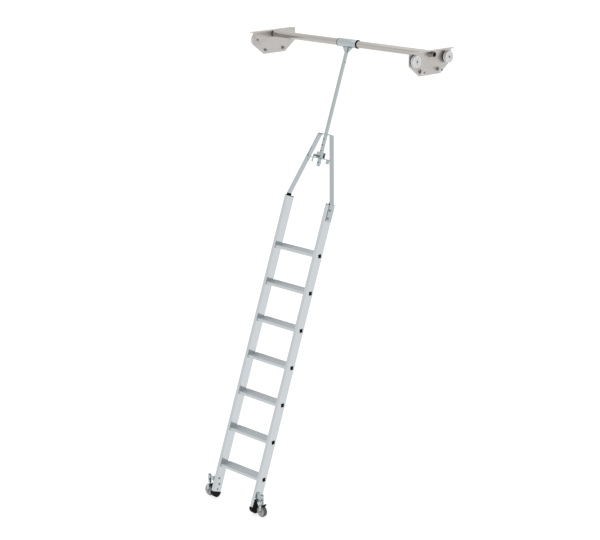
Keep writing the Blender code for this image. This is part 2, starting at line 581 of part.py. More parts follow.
# --------------------------------------------------------------- castors
for side, s in (('left', -1), ('right', 1)):
    cx = s * CASTOR_X
    web = [(-1120 * MM, -2982 * MM), (-1088 * MM, -2982 * MM), (-1096 * MM, -3052 * MM), (-1112 * MM, -3052 * MM),
           (-1113.5 * MM, -3020 * MM), (-1127 * MM, -3018.5 * MM)]
    bm = bmesh.new()
    extrude(bm, [web], 'X', *sorted((s * (LX + GAP), s * (LX + GAP + CHANNEL_X))))
    bracket = make('castor_bracket_' + side, bm, mat='zinc')
    cutter('cut_channel_' + side, bracket,
           lambda j: block(j, *sorted((s * (LX + GAP + 3.2 * MM), s * (LX + GAP + CHANNEL_X - 3.2 * MM))), -1140 * MM,
                           -1102 * MM, -3060 * MM, -2985.5 * MM))
    cutter('weld_arm_' + side, bracket,
           lambda j: block(j, *sorted((s * (LX + CHANNEL_X - 1 * MM), s * (CASTOR_X - 6 * MM))), -1122 * MM, -1116 * MM,
                           -3019 * MM, -2986 * MM), kind='UNION')
    barrel = [(0, HOUSING_Z0), (HOUSING_R, HOUSING_Z0), (HOUSING_R, HOUSING_Z1 - 6 * MM),
              (HOUSING_R + 0.8 * MM, HOUSING_Z1 - 5 * MM), (HOUSING_R - 1 * MM, HOUSING_Z1 - 1 * MM),
              (HOUSING_R - 5 * MM, HOUSING_Z1), (HOUSING_NUT_R, HOUSING_Z1),
              (HOUSING_NUT_R, HOUSING_Z1 + HOUSING_NUT_H), (0, HOUSING_Z1 + HOUSING_NUT_H)]
    cutter('weld_housing_' + side, bracket,
           lambda j: revolve(j, barrel, 'Z', (cx, CASTOR_Y, 0), 20, ring=False), kind='UNION')

    def studs(bm, s=s):
        """Studs of the bracket, through the stile to a round nut on its inner face."""
        for y, z in BRACKET_BOLTS:
            i0, o0 = LX - STILE_T, LX + CHANNEL_X - 1 * MM
            prof = [(0, i0 - 4.5 * MM), (5.5 * MM, i0 - 4.5 * MM), (8 * MM, i0 - 2.5 * MM), (8 * MM, i0 - GAP),
                    (4 * MM, i0 - GAP), (4 * MM, o0)]
            if z < -3.0:      # the lower stud has a nut outside as well
                prof += [(6 * MM, o0), (6 * MM, o0 + 4 * MM), (0, o0 + 4 * MM)]
            else:
                prof += [(0, o0)]
            revolve(bm, [(r, s * q) for r, q in prof], 'X', (0, y, z), 10, ring=False)
    cutter('weld_studs_' + side, bracket, studs, kind='UNION')

    def bores(bm, s=s, cx=cx):
        rod(bm, 'Z', (cx, CASTOR_Y, 0), STEM_R + GAP, HOUSING_Z0 - 0.01, HOUSING_Z1 - 8 * MM, 12)
    cutter('cut_bracket_' + side, bracket, bores)

    # stem, sliding in the housing
    fork_top = WHEEL_R * 2 + 7.0 * MM + FLOOR_Z
    bm = bmesh.new()
    rod(bm, 'Z', (cx, CASTOR_Y, 0), STEM_R, fork_top + GAP, HOUSING_Z1 - 18.5 * MM, 12)
    make('castor_stem_' + side, bm, origin=(cx, CASTOR_Y, fork_top), mat='zinc')

    # fork: a folded strap over the wheel
    wz = FLOOR_Z + WHEEL_R
    a, b, tk = WHEEL_W / 2 + 2 * MM, WHEEL_W / 2 + 5 * MM, 3.5 * MM
    strap = [(-b, wz - 9 * MM), (-a, wz - 9 * MM), (-a, fork_top - tk), (a, fork_top - tk), (a, wz - 9 * MM),
             (b, wz - 9 * MM), (b, fork_top), (-b, fork_top)]
    bm = bmesh.new()
    extrude(bm, [[(CASTOR_Y + p, q) for p, q in strap]], 'X', cx - 11 * MM, cx + 11 * MM)
    fork = make('castor_fork_' + side, bm, origin=(cx, CASTOR_Y, fork_top), mat='zinc')
    cutter('cut_fork_' + side, fork,
           lambda bmx: rod(bmx, 'Y', (cx, 0, wz), 4.3 * MM, CASTOR_Y - 0.03, CASTOR_Y + 0.03, 12))

    bm = bmesh.new()
    ax = [(0, -b - 4.5 * MM), (6.5 * MM, -b - 4.5 * MM), (6.5 * MM, -b - GAP), (4 * MM, -b - GAP),
          (4 * MM, b + GAP), (6.5 * MM, b + GAP), (6.5 * MM, b + 4.5 * MM), (0, b + 4.5 * MM)]
    revolve(bm, [(r, CASTOR_Y + q) for r, q in ax], 'Y', (cx, 0, wz), 12, ring=False)
    make('castor_axle_' + side, bm, origin=(cx, CASTOR_Y, wz), mat='zinc')

    bm = bmesh.new()
    w = WHEEL_W / 2
    tyre = [(4.3 * MM, -w), (33 * MM, -w), (WHEEL_R, -w + 7 * MM), (WHEEL_R, w - 7 * MM), (33 * MM, w), (4.3 * MM, w)]
    revolve(bm, [(r, CASTOR_Y + q) for r, q in tyre], 'Y', (cx, 0, wz), 28)
    make('castor_wheel_' + side, bm, origin=(cx, CASTOR_Y, wz), mat='wheel')

    # brake pedal: a shoe over the wheel with a raised toe, always on the +X side
    bm = bmesh.new()
    hinge = math.radians(71)
    shoe = [(cx + dx * MM, wz + dz * MM) for dx, dz in ((14.5, 41.4), (23.5, 37.0), (26.5, 42.0), (34.5, 56.5),
                                                        (29.5, 60.0), (20.5, 48.5), (14.5, 47.3))]
    extrude(bm, [shoe], 'Y', CASTOR_Y - 11 * MM, CASTOR_Y + 11 * MM)
    make('brake_pedal_' + side, bm,
         origin=(cx + 46.5 * MM * math.cos(hinge), CASTOR_Y, wz + 46.5 * MM * math.sin(hinge)), mat='plastic')
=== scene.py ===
"""Looks of the overhead-hung aisle ladder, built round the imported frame.

Coordinates are millimetres in the object's own frame unless a name says
otherwise; mesh data is scaled to metres when an object is made.
"""
import math

import bmesh
import bpy
from mathutils import Matrix, Vector


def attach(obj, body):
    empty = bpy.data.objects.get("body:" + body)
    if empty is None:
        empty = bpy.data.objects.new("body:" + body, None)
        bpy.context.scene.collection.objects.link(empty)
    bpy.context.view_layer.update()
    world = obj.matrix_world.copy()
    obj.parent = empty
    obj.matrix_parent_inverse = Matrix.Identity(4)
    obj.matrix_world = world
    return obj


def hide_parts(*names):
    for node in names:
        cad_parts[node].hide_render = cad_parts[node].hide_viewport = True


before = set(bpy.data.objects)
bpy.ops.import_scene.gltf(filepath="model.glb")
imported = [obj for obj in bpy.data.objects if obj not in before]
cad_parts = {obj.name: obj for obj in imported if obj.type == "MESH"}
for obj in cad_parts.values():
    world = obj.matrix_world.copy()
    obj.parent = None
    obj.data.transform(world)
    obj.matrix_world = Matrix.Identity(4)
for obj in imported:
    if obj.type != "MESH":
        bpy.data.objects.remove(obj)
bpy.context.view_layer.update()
scene = bpy.context.scene

LEAN = math.radians(70.0)
ROT = Matrix.Rotation(LEAN - math.pi / 2, 4, 'X')      # ladder frame -> world
ID = Matrix.Identity(4)
FLOOR = -3139.0
SIDES = (('left', -1), ('right', 1))
ENDS = (('front', -1), ('rear', 1))


# ================================================================ materials
def srgb(r, g, b):
    out = []
    for c in (r, g, b):
        c /= 255.0
        out.append(c / 12.92 if c <= 0.04045 else ((c + 0.055) / 1.055) ** 2.4)
    return tuple(out) + (1.0,)


class Mat:
    """A small node-tree builder round one Principled BSDF."""

    def __init__(self, name, color, rough, metal=0.0, spec=0.5):
        self.mat = bpy.data.materials.new(name)
        self.mat.use_nodes = True
        self.nt = self.mat.node_tree
        self.p = self.nt.nodes['Principled BSDF']
        self.p.inputs['Base Color'].default_value = color
        self.p.inputs['Roughness'].default_value = rough
        self.p.inputs['Metallic'].default_value = metal
        self.p.inputs['Specular IOR Level'].default_value = spec
        self.color = color

    def node(self, kind, **props):
        n = self.nt.nodes.new(kind)
        for k, v in props.items():
            setattr(n, k, v)
        return n

    def link(self, a, b):
        self.nt.links.new(a, b)

    def coords(self, scale=(1, 1, 1), rot=(0, 0, 0)):
        """Object coordinates, in metres, turned and stretched."""
        tc = self.node('ShaderNodeTexCoord')
        mp = self.node('ShaderNodeMapping', vector_type='TEXTURE')
        mp.inputs['Scale'].default_value = tuple(1.0 / v for v in scale)
        mp.inputs['Rotation'].default_value = rot
        self.link(tc.outputs['Object'], mp.inputs['Vector'])
        return mp.outputs['Vector']

    def noise(self, vec, scale, detail=3.0, rough=0.55):
        n = self.node('ShaderNodeTexNoise')
        n.inputs['Scale'].default_value = scale
        n.inputs['Detail'].default_value = detail
        n.inputs['Roughness'].default_value = rough
        self.link(vec, n.inputs['Vector'])
        return n.outputs['Fac']

    def ramp(self, fac, lo, hi):
        """Map Range from 0.3-0.7 of a noise to lo-hi."""
        m = self.node('ShaderNodeMapRange')
        m.inputs['From Min'].default_value = 0.3
        m.inputs['From Max'].default_value = 0.7
        m.inputs['To Min'].default_value = lo
        m.inputs['To Max'].default_value = hi
        self.link(fac, m.inputs['Value'])
        return m.outputs['Result']

    def tint(self, fac, dark, light):
        """Base colour varied between two multiples of the material's own."""
        mix = self.node('ShaderNodeMix', data_type='RGBA')
        mix.inputs['A'].default_value = tuple(c * dark for c in self.color[:3]) + (1,)
        mix.inputs['B'].default_value = tuple(min(c * light, 1) for c in self.color[:3]) + (1,)
        self.link(fac, mix.inputs['Factor'])
        self.link(mix.outputs['Result'], self.p.inputs['Base Color'])
        return mix

    def roughen(self, fac, lo, hi):
        self.link(self.ramp(fac, lo, hi), self.p.inputs['Roughness'])

    def bump(self, height, strength, distance):
        b = self.node('ShaderNodeBump')
        b.inputs['Strength'].default_value = strength
        b.inputs['Distance'].default_value = distance
        self.link(height, b.inputs['Height'])
        old = self.p.inputs['Normal'].links
        if old:
            self.link(old[0].from_socket, b.inputs['Normal'])
        self.link(b.outputs['Normal'], self.p.inputs['Normal'])
        return b


LEAN_ROT = (LEAN - math.pi / 2, 0, 0)      # ladder frame, for textures


def drawn_metal(name, color, rough, metal, rot, stretch, strength=0.25, mottle=0.06):
    """Extruded or drawn metal: fine lines along one axis and a faint mottle."""
    m = Mat(name, color, rough, metal)
    vec = m.coords(stretch, rot)
    lines = m.noise(vec, 1.0, 4.0, 0.6)
    cloud = m.noise(m.coords((1, 1, 1)), 9.0, 4.0, 0.6)
    m.tint(cloud, 1 - mottle, 1 + mottle)
    m.roughen(lines, rough - 0.05, rough + 0.07)
    m.bump(lines, strength, 0.00012)
    return m


# anodised extrusions run along the ladder: lines stretched along local Z
ANODISED = drawn_metal('anodised_aluminium', srgb(196, 201, 204), 0.13, 1.0, LEAN_ROT,
                       (900, 900, 5), 0.1, 0.012)
ALONG_X = (5, 900, 900)
TREAD = drawn_metal('tread_aluminium', srgb(188, 193, 196), 0.26, 1.0, (0, 0, 0), ALONG_X, 0.15,
                    0.02)
# the ribbed tread top's darker colour is painted shade for the shade between the ribs; its higher roughness
# gives a duller finish
RIBBED_SHADE = drawn_metal('ribbed_tread_top_painted_shade', srgb(177, 182, 185), 0.34, 1.0, (0, 0, 0), ALONG_X, 0.2,
                     0.03)
TUBE = drawn_metal('drawn_stainless_tube', srgb(178, 174, 170), 0.2, 1.0, (0, 0, 0), (4, 700, 700),
                   0.08, 0.015)
SHEET = drawn_metal('stainless_sheet', srgb(187, 183, 180), 0.36, 1.0, (0, 0, 0), (60, 6, 900),
                    0.12, 0.02)


def zinc(name, color, rough=0.34, metal=1.0):
    """Zinc plate: bluish, with a fine spangle and slight clouding."""
    m = Mat(name, color, rough, metal)
    vec = m.coords()
    cloud = m.noise(vec, 26.0, 5.0, 0.62)
    grain = m.noise(vec, 900.0, 2.0, 0.5)
    m.tint(cloud, 0.97, 1.02)
    m.roughen(cloud, rough - 0.04, rough + 0.05)
    m.bump(grain, 0.06, 0.00008)
    return m


ZINC = zinc('zinc_plate', srgb(174, 182, 184), 0.13)
ZINC_DARK = zinc('zinc_fastener', srgb(140, 146, 148), 0.3, 1.0)
# dark colour for the inside of the hollow pole is painted shade, so that the bore and the index holes look
# dark
BORE_SHADE = zinc('pole_bore_painted_shade', srgb(58, 62, 64), 0.6)
WELD = zinc('weld_bead', srgb(150, 156, 158), 0.5, 0.8)


def moulded(name, color, rough, grain=1500.0, strength=0.15, spec=0.4):
    """Moulded plastic or rubber: fine pebble grain and uneven sheen."""
    m = Mat(name, color, rough, 0.0, spec)
    vec = m.coords()
    fine = m.noise(vec, grain, 2.0, 0.5)
    cloud = m.noise(vec, 40.0, 4.0, 0.6)
    m.tint(cloud, 0.85, 1.15)
    m.roughen(cloud, rough - 0.07, rough + 0.07)
    m.bump(fine, strength, 0.0001)
    return m


BLACK = moulded('black_plastic', srgb(7, 7, 8), 0.6, spec=0.06)
RUBBER = moulded('black_rubber', srgb(18, 18, 19), 0.75, 1100.0, 0.3, 0.12)
TYRE = moulded('grey_rubber_tyre', srgb(84, 84, 84), 0.68, 1100.0, 0.25, 0.3)
HUB = moulded('grey_wheel_core', srgb(152, 151, 149), 0.5)
NYLON = moulded('white_nylon', srgb(205, 206, 206), 0.45, 1800.0, 0.08, 0.25)
NYLON.p.inputs['Subsurface Weight'].default_value = 0.15
NYLON.p.inputs['Subsurface Radius'].default_value = (0.004, 0.004, 0.004)
NYLON.p.inputs['Subsurface Scale'].default_value = 1.0


# ================================================================ mesh helpers
def fillet(pts, radius, steps=4):
    """Round the corners of a closed 2-D loop; radius is one value or one per corner."""
    n = len(pts)
    rad = radius if isinstance(radius, (list, tuple)) else [radius] * n
    out = []
    for i, (px, py) in enumerate(pts):
        r = rad[i]
        p, a, b = Vector((px, py)), Vector(pts[i - 1]), Vector(pts[(i + 1) % n])
        da, db = (a - p), (b - p)
        la, lb = da.length, db.length
        if r <= 0 or la < 1e-6 or lb < 1e-6:
            out.append((px, py))
            continue
        da.normalize()
        db.normalize()
        ang = da.angle(db)
        if ang > math.pi - 0.02:
            out.append((px, py))
            continue
        t = min(r / math.tan(ang / 2), la * 0.49, lb * 0.49)
        rr = t * math.tan(ang / 2)
        c = p + (da + db).normalized() * (rr / math.sin(ang / 2))
        s, e = p + da * t - c, p + db * t - c
        a0 = math.atan2(s.y, s.x)
        sweep = math.atan2(s.x * e.y - s.y * e.x, s.dot(e))
        out += [(c.x + rr * math.cos(a0 + sweep * k / steps),
                 c.y + rr * math.sin(a0 + sweep * k / steps))
                for k in range(steps + 1)]
    return out


def rect(a0, a1, b0, b1, r=0.0, steps=4):
    a0, a1 = sorted((a0, a1))
    b0, b1 = sorted((b0, b1))
    pts = [(a0, b0), (a1, b0), (a1, b1), (a0, b1)]
    return fillet(pts, r, steps) if r > 0 else pts


def square(a, b, half, r):
    return rect(a - half, a + half, b - half, b + half, r)


def ring(a, b, r, seg=32, turn=0.0):
    return [(a + r * math.cos(turn + 2 * math.pi * i / seg),
             b + r * math.sin(turn + 2 * math.pi * i / seg))
            for i in range(seg)]


def hexagon(a, b, across_flats, turn=0.0):
    return ring(a, b, across_flats / math.sqrt(3), 6, turn)


AXES = {'X': lambda a, b, d: (d, a, b), 'Y': lambda a, b, d: (a, d, b), 'Z': lambda a, b,
        d: (a, b, d)}


def prism(bm, loop, axis, d0, d1):
    """Solid from one closed loop, with a single face at each end."""
    to = AXES[axis]
    lo = [bm.verts.new(to(a, b, d0)) for a, b in loop]
    hi = [bm.verts.new(to(a, b, d1)) for a, b in loop]
    n = len(loop)
    bm.faces.new(lo)
    bm.faces.new(hi)
    for i in range(n):
        j = (i + 1) % n
        bm.faces.new([lo[i], lo[j], hi[j], hi[i]])


def pipe(bm, outer, inner, axis, d0, d1):
    """Hollow profile: two loops with as many points as each other."""
    to = AXES[axis]
    rows = [[bm.verts.new(to(a, b, d)) for a, b in loop] for loop, d in
            ((outer, d0), (outer, d1), (inner, d1), (inner, d0))]
    n = len(outer)
    for k in range(4):
        p, q = rows[k], rows[(k + 1) % 4]
        for i in range(n):
            j = (i + 1) % n
            bm.faces.new([p[i], p[j], q[j], q[i]])


def lathe(bm, prof, axis, centre, seg=48, closed=True):
    """Turn (radius, along) points; closed joins last to first, else ends meet the axis."""
    to = AXES[axis]
    ca, cb = [c for i, c in enumerate(centre) if 'XYZ'[i] != axis]
    rows = []
    for r, d in prof:
        if r < 1e-6:
            rows.append([bm.verts.new(to(ca, cb, d))])
        else:
            rows.append([bm.verts.new(to(ca + r * math.cos(2 * math.pi * i / seg),
                                         cb + r * math.sin(2 * math.pi * i / seg),
                                         d)) for i in range(seg)])
    for p, q in list(zip(rows, rows[1:])) + ([(rows[-1], rows[0])] if closed else []):
        for i in range(seg):
            j = (i + 1) % seg
            if len(p) == 1 and len(q) == 1:
                continue
            if len(p) == 1:
                bm.faces.new([p[0], q[j], q[i]])
            elif len(q) == 1:
                bm.faces.new([p[i], p[j], q[0]])
            else:
                bm.faces.new([p[i], p[j], q[j], q[i]])


def soft_profile(prof, r):
    """Round the corners of a turned profile (open polyline)."""
    out = [prof[0]]
    for i in range(1, len(prof) - 1):
        tri = fillet([prof[i - 1], prof[i], prof[i + 1]], [0, r, 0], 3)
        out += tri[1:-1]
    out.append(prof[-1])
    return out


def to_object(name, bm, at=ID):
    bmesh.ops.remove_doubles(bm, verts=bm.verts, dist=1e-4)
    bmesh.ops.recalc_face_normals(bm, faces=bm.faces)
    bm.transform(Matrix.Scale(0.001, 4) @ at)
    me = bpy.data.meshes.new(name)
    bm.to_mesh(me)
    bm.free()
    ob = bpy.data.objects.new(name, me)
    scene.collection.objects.link(ob)
    return ob


def freeze(ob, sharp=32):
    """Apply the modifiers and shade: smooth, but sharp over real edges."""
    dg = bpy.context.evaluated_depsgraph_get()
    dg.update()
    me = bpy.data.meshes.new_from_object(ob.evaluated_get(dg))
    old = ob.data
    ob.modifiers.clear()
    ob.data = me
    me.name = ob.name
    bpy.data.meshes.remove(old)
    me.shade_smooth()
    me.set_sharp_from_angle(angle=math.radians(sharp))


def build(name, fill, body, mat, at=ID, ops=(), bevel=0.4, segs=2, late=0.0, angle=30, nodes=(),
          sharp=32):
    """One finished piece, riding on its body.

    fill draws the blank; bevel rounds its edges. Each of ops is (kind, draw) or
    (kind, draw, frame): 'cut' takes a shape away, 'add' welds one on and 'keep'
    leaves only what lies inside it. late rounds the edges that they leave.
    """
    bm = bmesh.new()
    fill(bm)
    ob = to_object(name, bm, at)

    def round_edges(width):
        m = ob.modifiers.new('edge', 'BEVEL')
        m.width, m.segments = width * 0.001, segs
        m.limit_method, m.angle_limit = 'ANGLE', math.radians(angle)
        m.use_clamp_overlap = True

    if bevel:
        round_edges(bevel)
    helpers = []
    for k, op in enumerate(ops):
        hb = bmesh.new()
        op[1](hb)
        h = to_object('helper_%d' % k, hb, op[2] if len(op) > 2 else at)
        m = ob.modifiers.new('op', 'BOOLEAN')
        m.operation = {'cut': 'DIFFERENCE', 'add': 'UNION', 'keep': 'INTERSECT'}[op[0]]
        m.solver, m.object = 'EXACT', h
        helpers.append(h)
    if late:
        round_edges(late)
    freeze(ob, sharp)
    for h in helpers:
        me = h.data
        bpy.data.objects.remove(h, do_unlink=True)
        bpy.data.meshes.remove(me)
    return finish_piece(ob, body, mat, nodes)


def finish_piece(ob, body, mat, nodes=()):
    ob.data.materials.clear()
    ob.data.materials.append(mat.mat)
    if nodes:
        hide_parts(*nodes)
    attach(ob, body)
    return ob


def span(s, a, b):
    """The two ends of a stretch on the left (s = -1) or right side, in order."""
    return sorted((s * a, s * b))


# ================================================================ camera, light, floor
LOOK = Vector((-0.681295, 0.681295, -0.267692)).normalized()
SENSOR, IMAGE_W, FOCAL = 36.0, 600.0, 1664.37          # focal length is for an image this wide
cam = bpy.data.cameras.new('camera')
cam.sensor_width = SENSOR
cam.lens = SENSOR * FOCAL / IMAGE_W
cam.clip_end = 200.0
cam_ob = bpy.data.objects.new('camera', cam)
cam_ob.location = (7.9721, -8.4528, 1.5840)
cam_ob.rotation_euler = LOOK.to_track_quat('-Z', 'Y').to_euler()
scene.collection.objects.link(cam_ob)
scene.camera = cam_ob

scene.view_settings.view_transform = 'Standard'
world = bpy.data.worlds.new('studio')
world.use_nodes = True
scene.world = world
world.node_tree.nodes['Background'].inputs['Color'].default_value = (1.0, 1.0, 1.0, 1)
world.node_tree.nodes['Background'].inputs['Strength'].default_value = 1.0


def area(name, loc, target, size, power):
    li = bpy.data.lights.new(name, 'AREA')
    li.shape = 'RECTANGLE'
    li.size, li.size_y = size
    li.energy = power
    ob = bpy.data.objects.new(name, li)
    ob.location = loc
    ob.rotation_euler = (Vector(target) - Vector(loc)).to_track_quat('-Z', 'Y').to_euler()
    scene.collection.objects.link(ob)
    return ob


area('overhead', (0.0, -1.0, 6.0), (0, -1.0, -1.6), (9, 9), 90)

bm = bmesh.new()
FLOOR_HALF = 150000                                    # 300 m across, so its edge is never seen
prism(bm, rect(-FLOOR_HALF, FLOOR_HALF, -FLOOR_HALF, FLOOR_HALF), 'Z', FLOOR - 60.0, FLOOR - 0.5)
floor = to_object('studio_floor', bm)
fm = Mat('studio_floor_paint', (0.4, 0.4, 0.4, 1), 0.9, 0.0, 0.0)
fm.p.inputs['Emission Color'].default_value = (1, 1, 1, 1)
fm.p.inputs['Emission Strength'].default_value = 0.7
fm.tint(fm.noise(fm.coords(), 0.6, 2.0, 0.5), 0.995, 1.0)
floor.data.materials.append(fm.mat)


# ================================================================ shapes used often
def bolt_blank(bm, axis, centre, prof):
    """Turned body of a bolt: (radius, along) from one end to the other, closed on the axis."""
    lathe(bm, [(0, prof[0][1])] + prof + [(0, prof[-1][1])], axis, centre, 24, closed=False)


def close_tube(bm, rows):
    """Skin over a run of equal rings, with a face at each end."""
    bm.faces.new(rows[0])
    bm.faces.new(rows[-1])
    n = len(rows[0])
    for p, q in zip(rows, rows[1:]):
        for i in range(n):
            j = (i + 1) % n
            bm.faces.new([p[i], p[j], q[j], q[i]])


def hex_part(axis, centre, d0, d1, af, turn=0.0):
    """Hexagon of a bolt head or nut; both ends are turned down to a cone."""
    ca, cb = [c for i, c in enumerate(centre) if 'XYZ'[i] != axis]

    def draw(bm):
        loop = hexagon(ca, cb, af, turn)
        r, lo, hi = af / math.sqrt(3), min(d0, d1), max(d0, d1)
        ch = min(0.9, (hi - lo) * 0.25)
        to = AXES[axis]
        rows = []
        for d, shrink in ((lo, 0.93), (lo + ch, 1.0), (hi - ch, 1.0), (hi, 0.93)):
            rows.append([bm.verts.new(to(ca + (a - ca) * shrink, cb + (b - cb) * shrink, d)) for a,
                         b in loop])
        close_tube(bm, rows)
    return draw


def bead(pts, r):
    """Weld bead: a closed tube along pts whose thickness ripples."""
    pitch, wave, seg = 2.2, 0.16, 10

    def draw(bm):
        path = [Vector(p) for p in pts]
        steps = []
        for a, b in zip(path, path[1:]):
            n = max(1, int((b - a).length / (pitch / 3)))
            steps += [a.lerp(b, k / n) for k in range(n)]
        steps.append(path[-1])
        run, rows = 0.0, []
        for i, p in enumerate(steps):
            t = (steps[min(i + 1, len(steps) - 1)] - steps[max(i - 1, 0)]).normalized()
            side = t.cross(Vector((0.31, 0.17, 0.93))).normalized()
            up = t.cross(side)
            if i:
                run += (p - steps[i - 1]).length
            rr = r * (1 + wave * math.sin(2 * math.pi * run / pitch))
            if i in (0, len(steps) - 1):
                rr *= 0.45
            rows.append([bm.verts.new(p + side * rr * math.cos(2 * math.pi * k / seg) +
                                      up * rr * math.sin(2 * math.pi * k / seg)) for k in range(seg)])
        close_tube(bm, rows)
    return draw


def loop_bead(axis, centre, radius, at_d, r):
    """Weld bead that runs right round a tube."""
    pitch, wave, seg = 2.4, 0.15, 10

    def draw(bm):
        n = max(48, int(2 * math.pi * radius / (pitch / 3)))
        beats = round(2 * math.pi * radius / pitch)
        ca, cb = [c for i, c in enumerate(centre) if 'XYZ'[i] != axis]
        to, rows = AXES[axis], []
        for i in range(n):
            a = 2 * math.pi * i / n
            rr = r * (1 + wave * math.sin(a * beats))
            rows.append([])
            for k in range(seg):
                q = 2 * math.pi * k / seg
                rad = radius + rr * math.cos(q)
                rows[-1].append(bm.verts.new(to(ca + rad * math.cos(a), cb + rad * math.sin(a),
                                                at_d + rr * math.sin(q))))
        for i in range(n):
            p, q = rows[i], rows[(i + 1) % n]
            for k in range(seg):
                m = (k + 1) % seg
                bm.faces.new([p[k], p[m], q[m], q[k]])
    return draw


def lathed(prof, s, centre, seg):
    """Lathe along X of (radius, distance from the middle) points, on side s."""
    return lambda bm: lathe(bm, [(r, s * d) for r, d in prof], 'X', centre, seg)


def lathed_bolt(prof, s, centre):
    return lambda bm: bolt_blank(bm, 'X', centre, [(r, s * d) for r, d in prof])


def rod(axis, centre, r, d0, d1, seg=32):
    return lambda bm: lathe(bm, [(0, d0), (r, d0), (r, d1), (0, d1)], axis, centre, seg,
                            closed=False)


def slab(loop, axis, d0, d1):
    return lambda bm: prism(bm, loop, axis, *sorted((d0, d1)))


# ================================================================ trolley
AXIS = (0, 0, 0)                                       # centre line of the cross tube
TUBE_R, TUBE_BORE, TUBE_END = 24.15, 21.15, 739.2
build('fine_cross_tube', lambda bm: lathe(bm, [(TUBE_BORE, -TUBE_END), (TUBE_R, -TUBE_END),
                                               (TUBE_R, TUBE_END),
                                               (TUBE_BORE, TUBE_END)], 'X', AXIS, 96),
      'trolley', TUBE, bevel=0.5, nodes=['cross_tube'])

PLATE_HALF, PLATE_LOW = 213, -140                      # half length and lower edge of a bracket
WEB_IN, WEB_OUT, FLANGE_OUT = 744, 748, 780            # its web's faces, its flange's free edge
PLATE_OUT = fillet([(-108, PLATE_LOW), (108, PLATE_LOW), (PLATE_HALF, -64.5), (PLATE_HALF, 40),
                    (-PLATE_HALF, 40), (-PLATE_HALF, -64.5)], [5, 5, 4, 0, 0, 4], 5)
ROLLER_AT, GUIDE_AT = (164.5, -32.5), (90.0, -112.0)

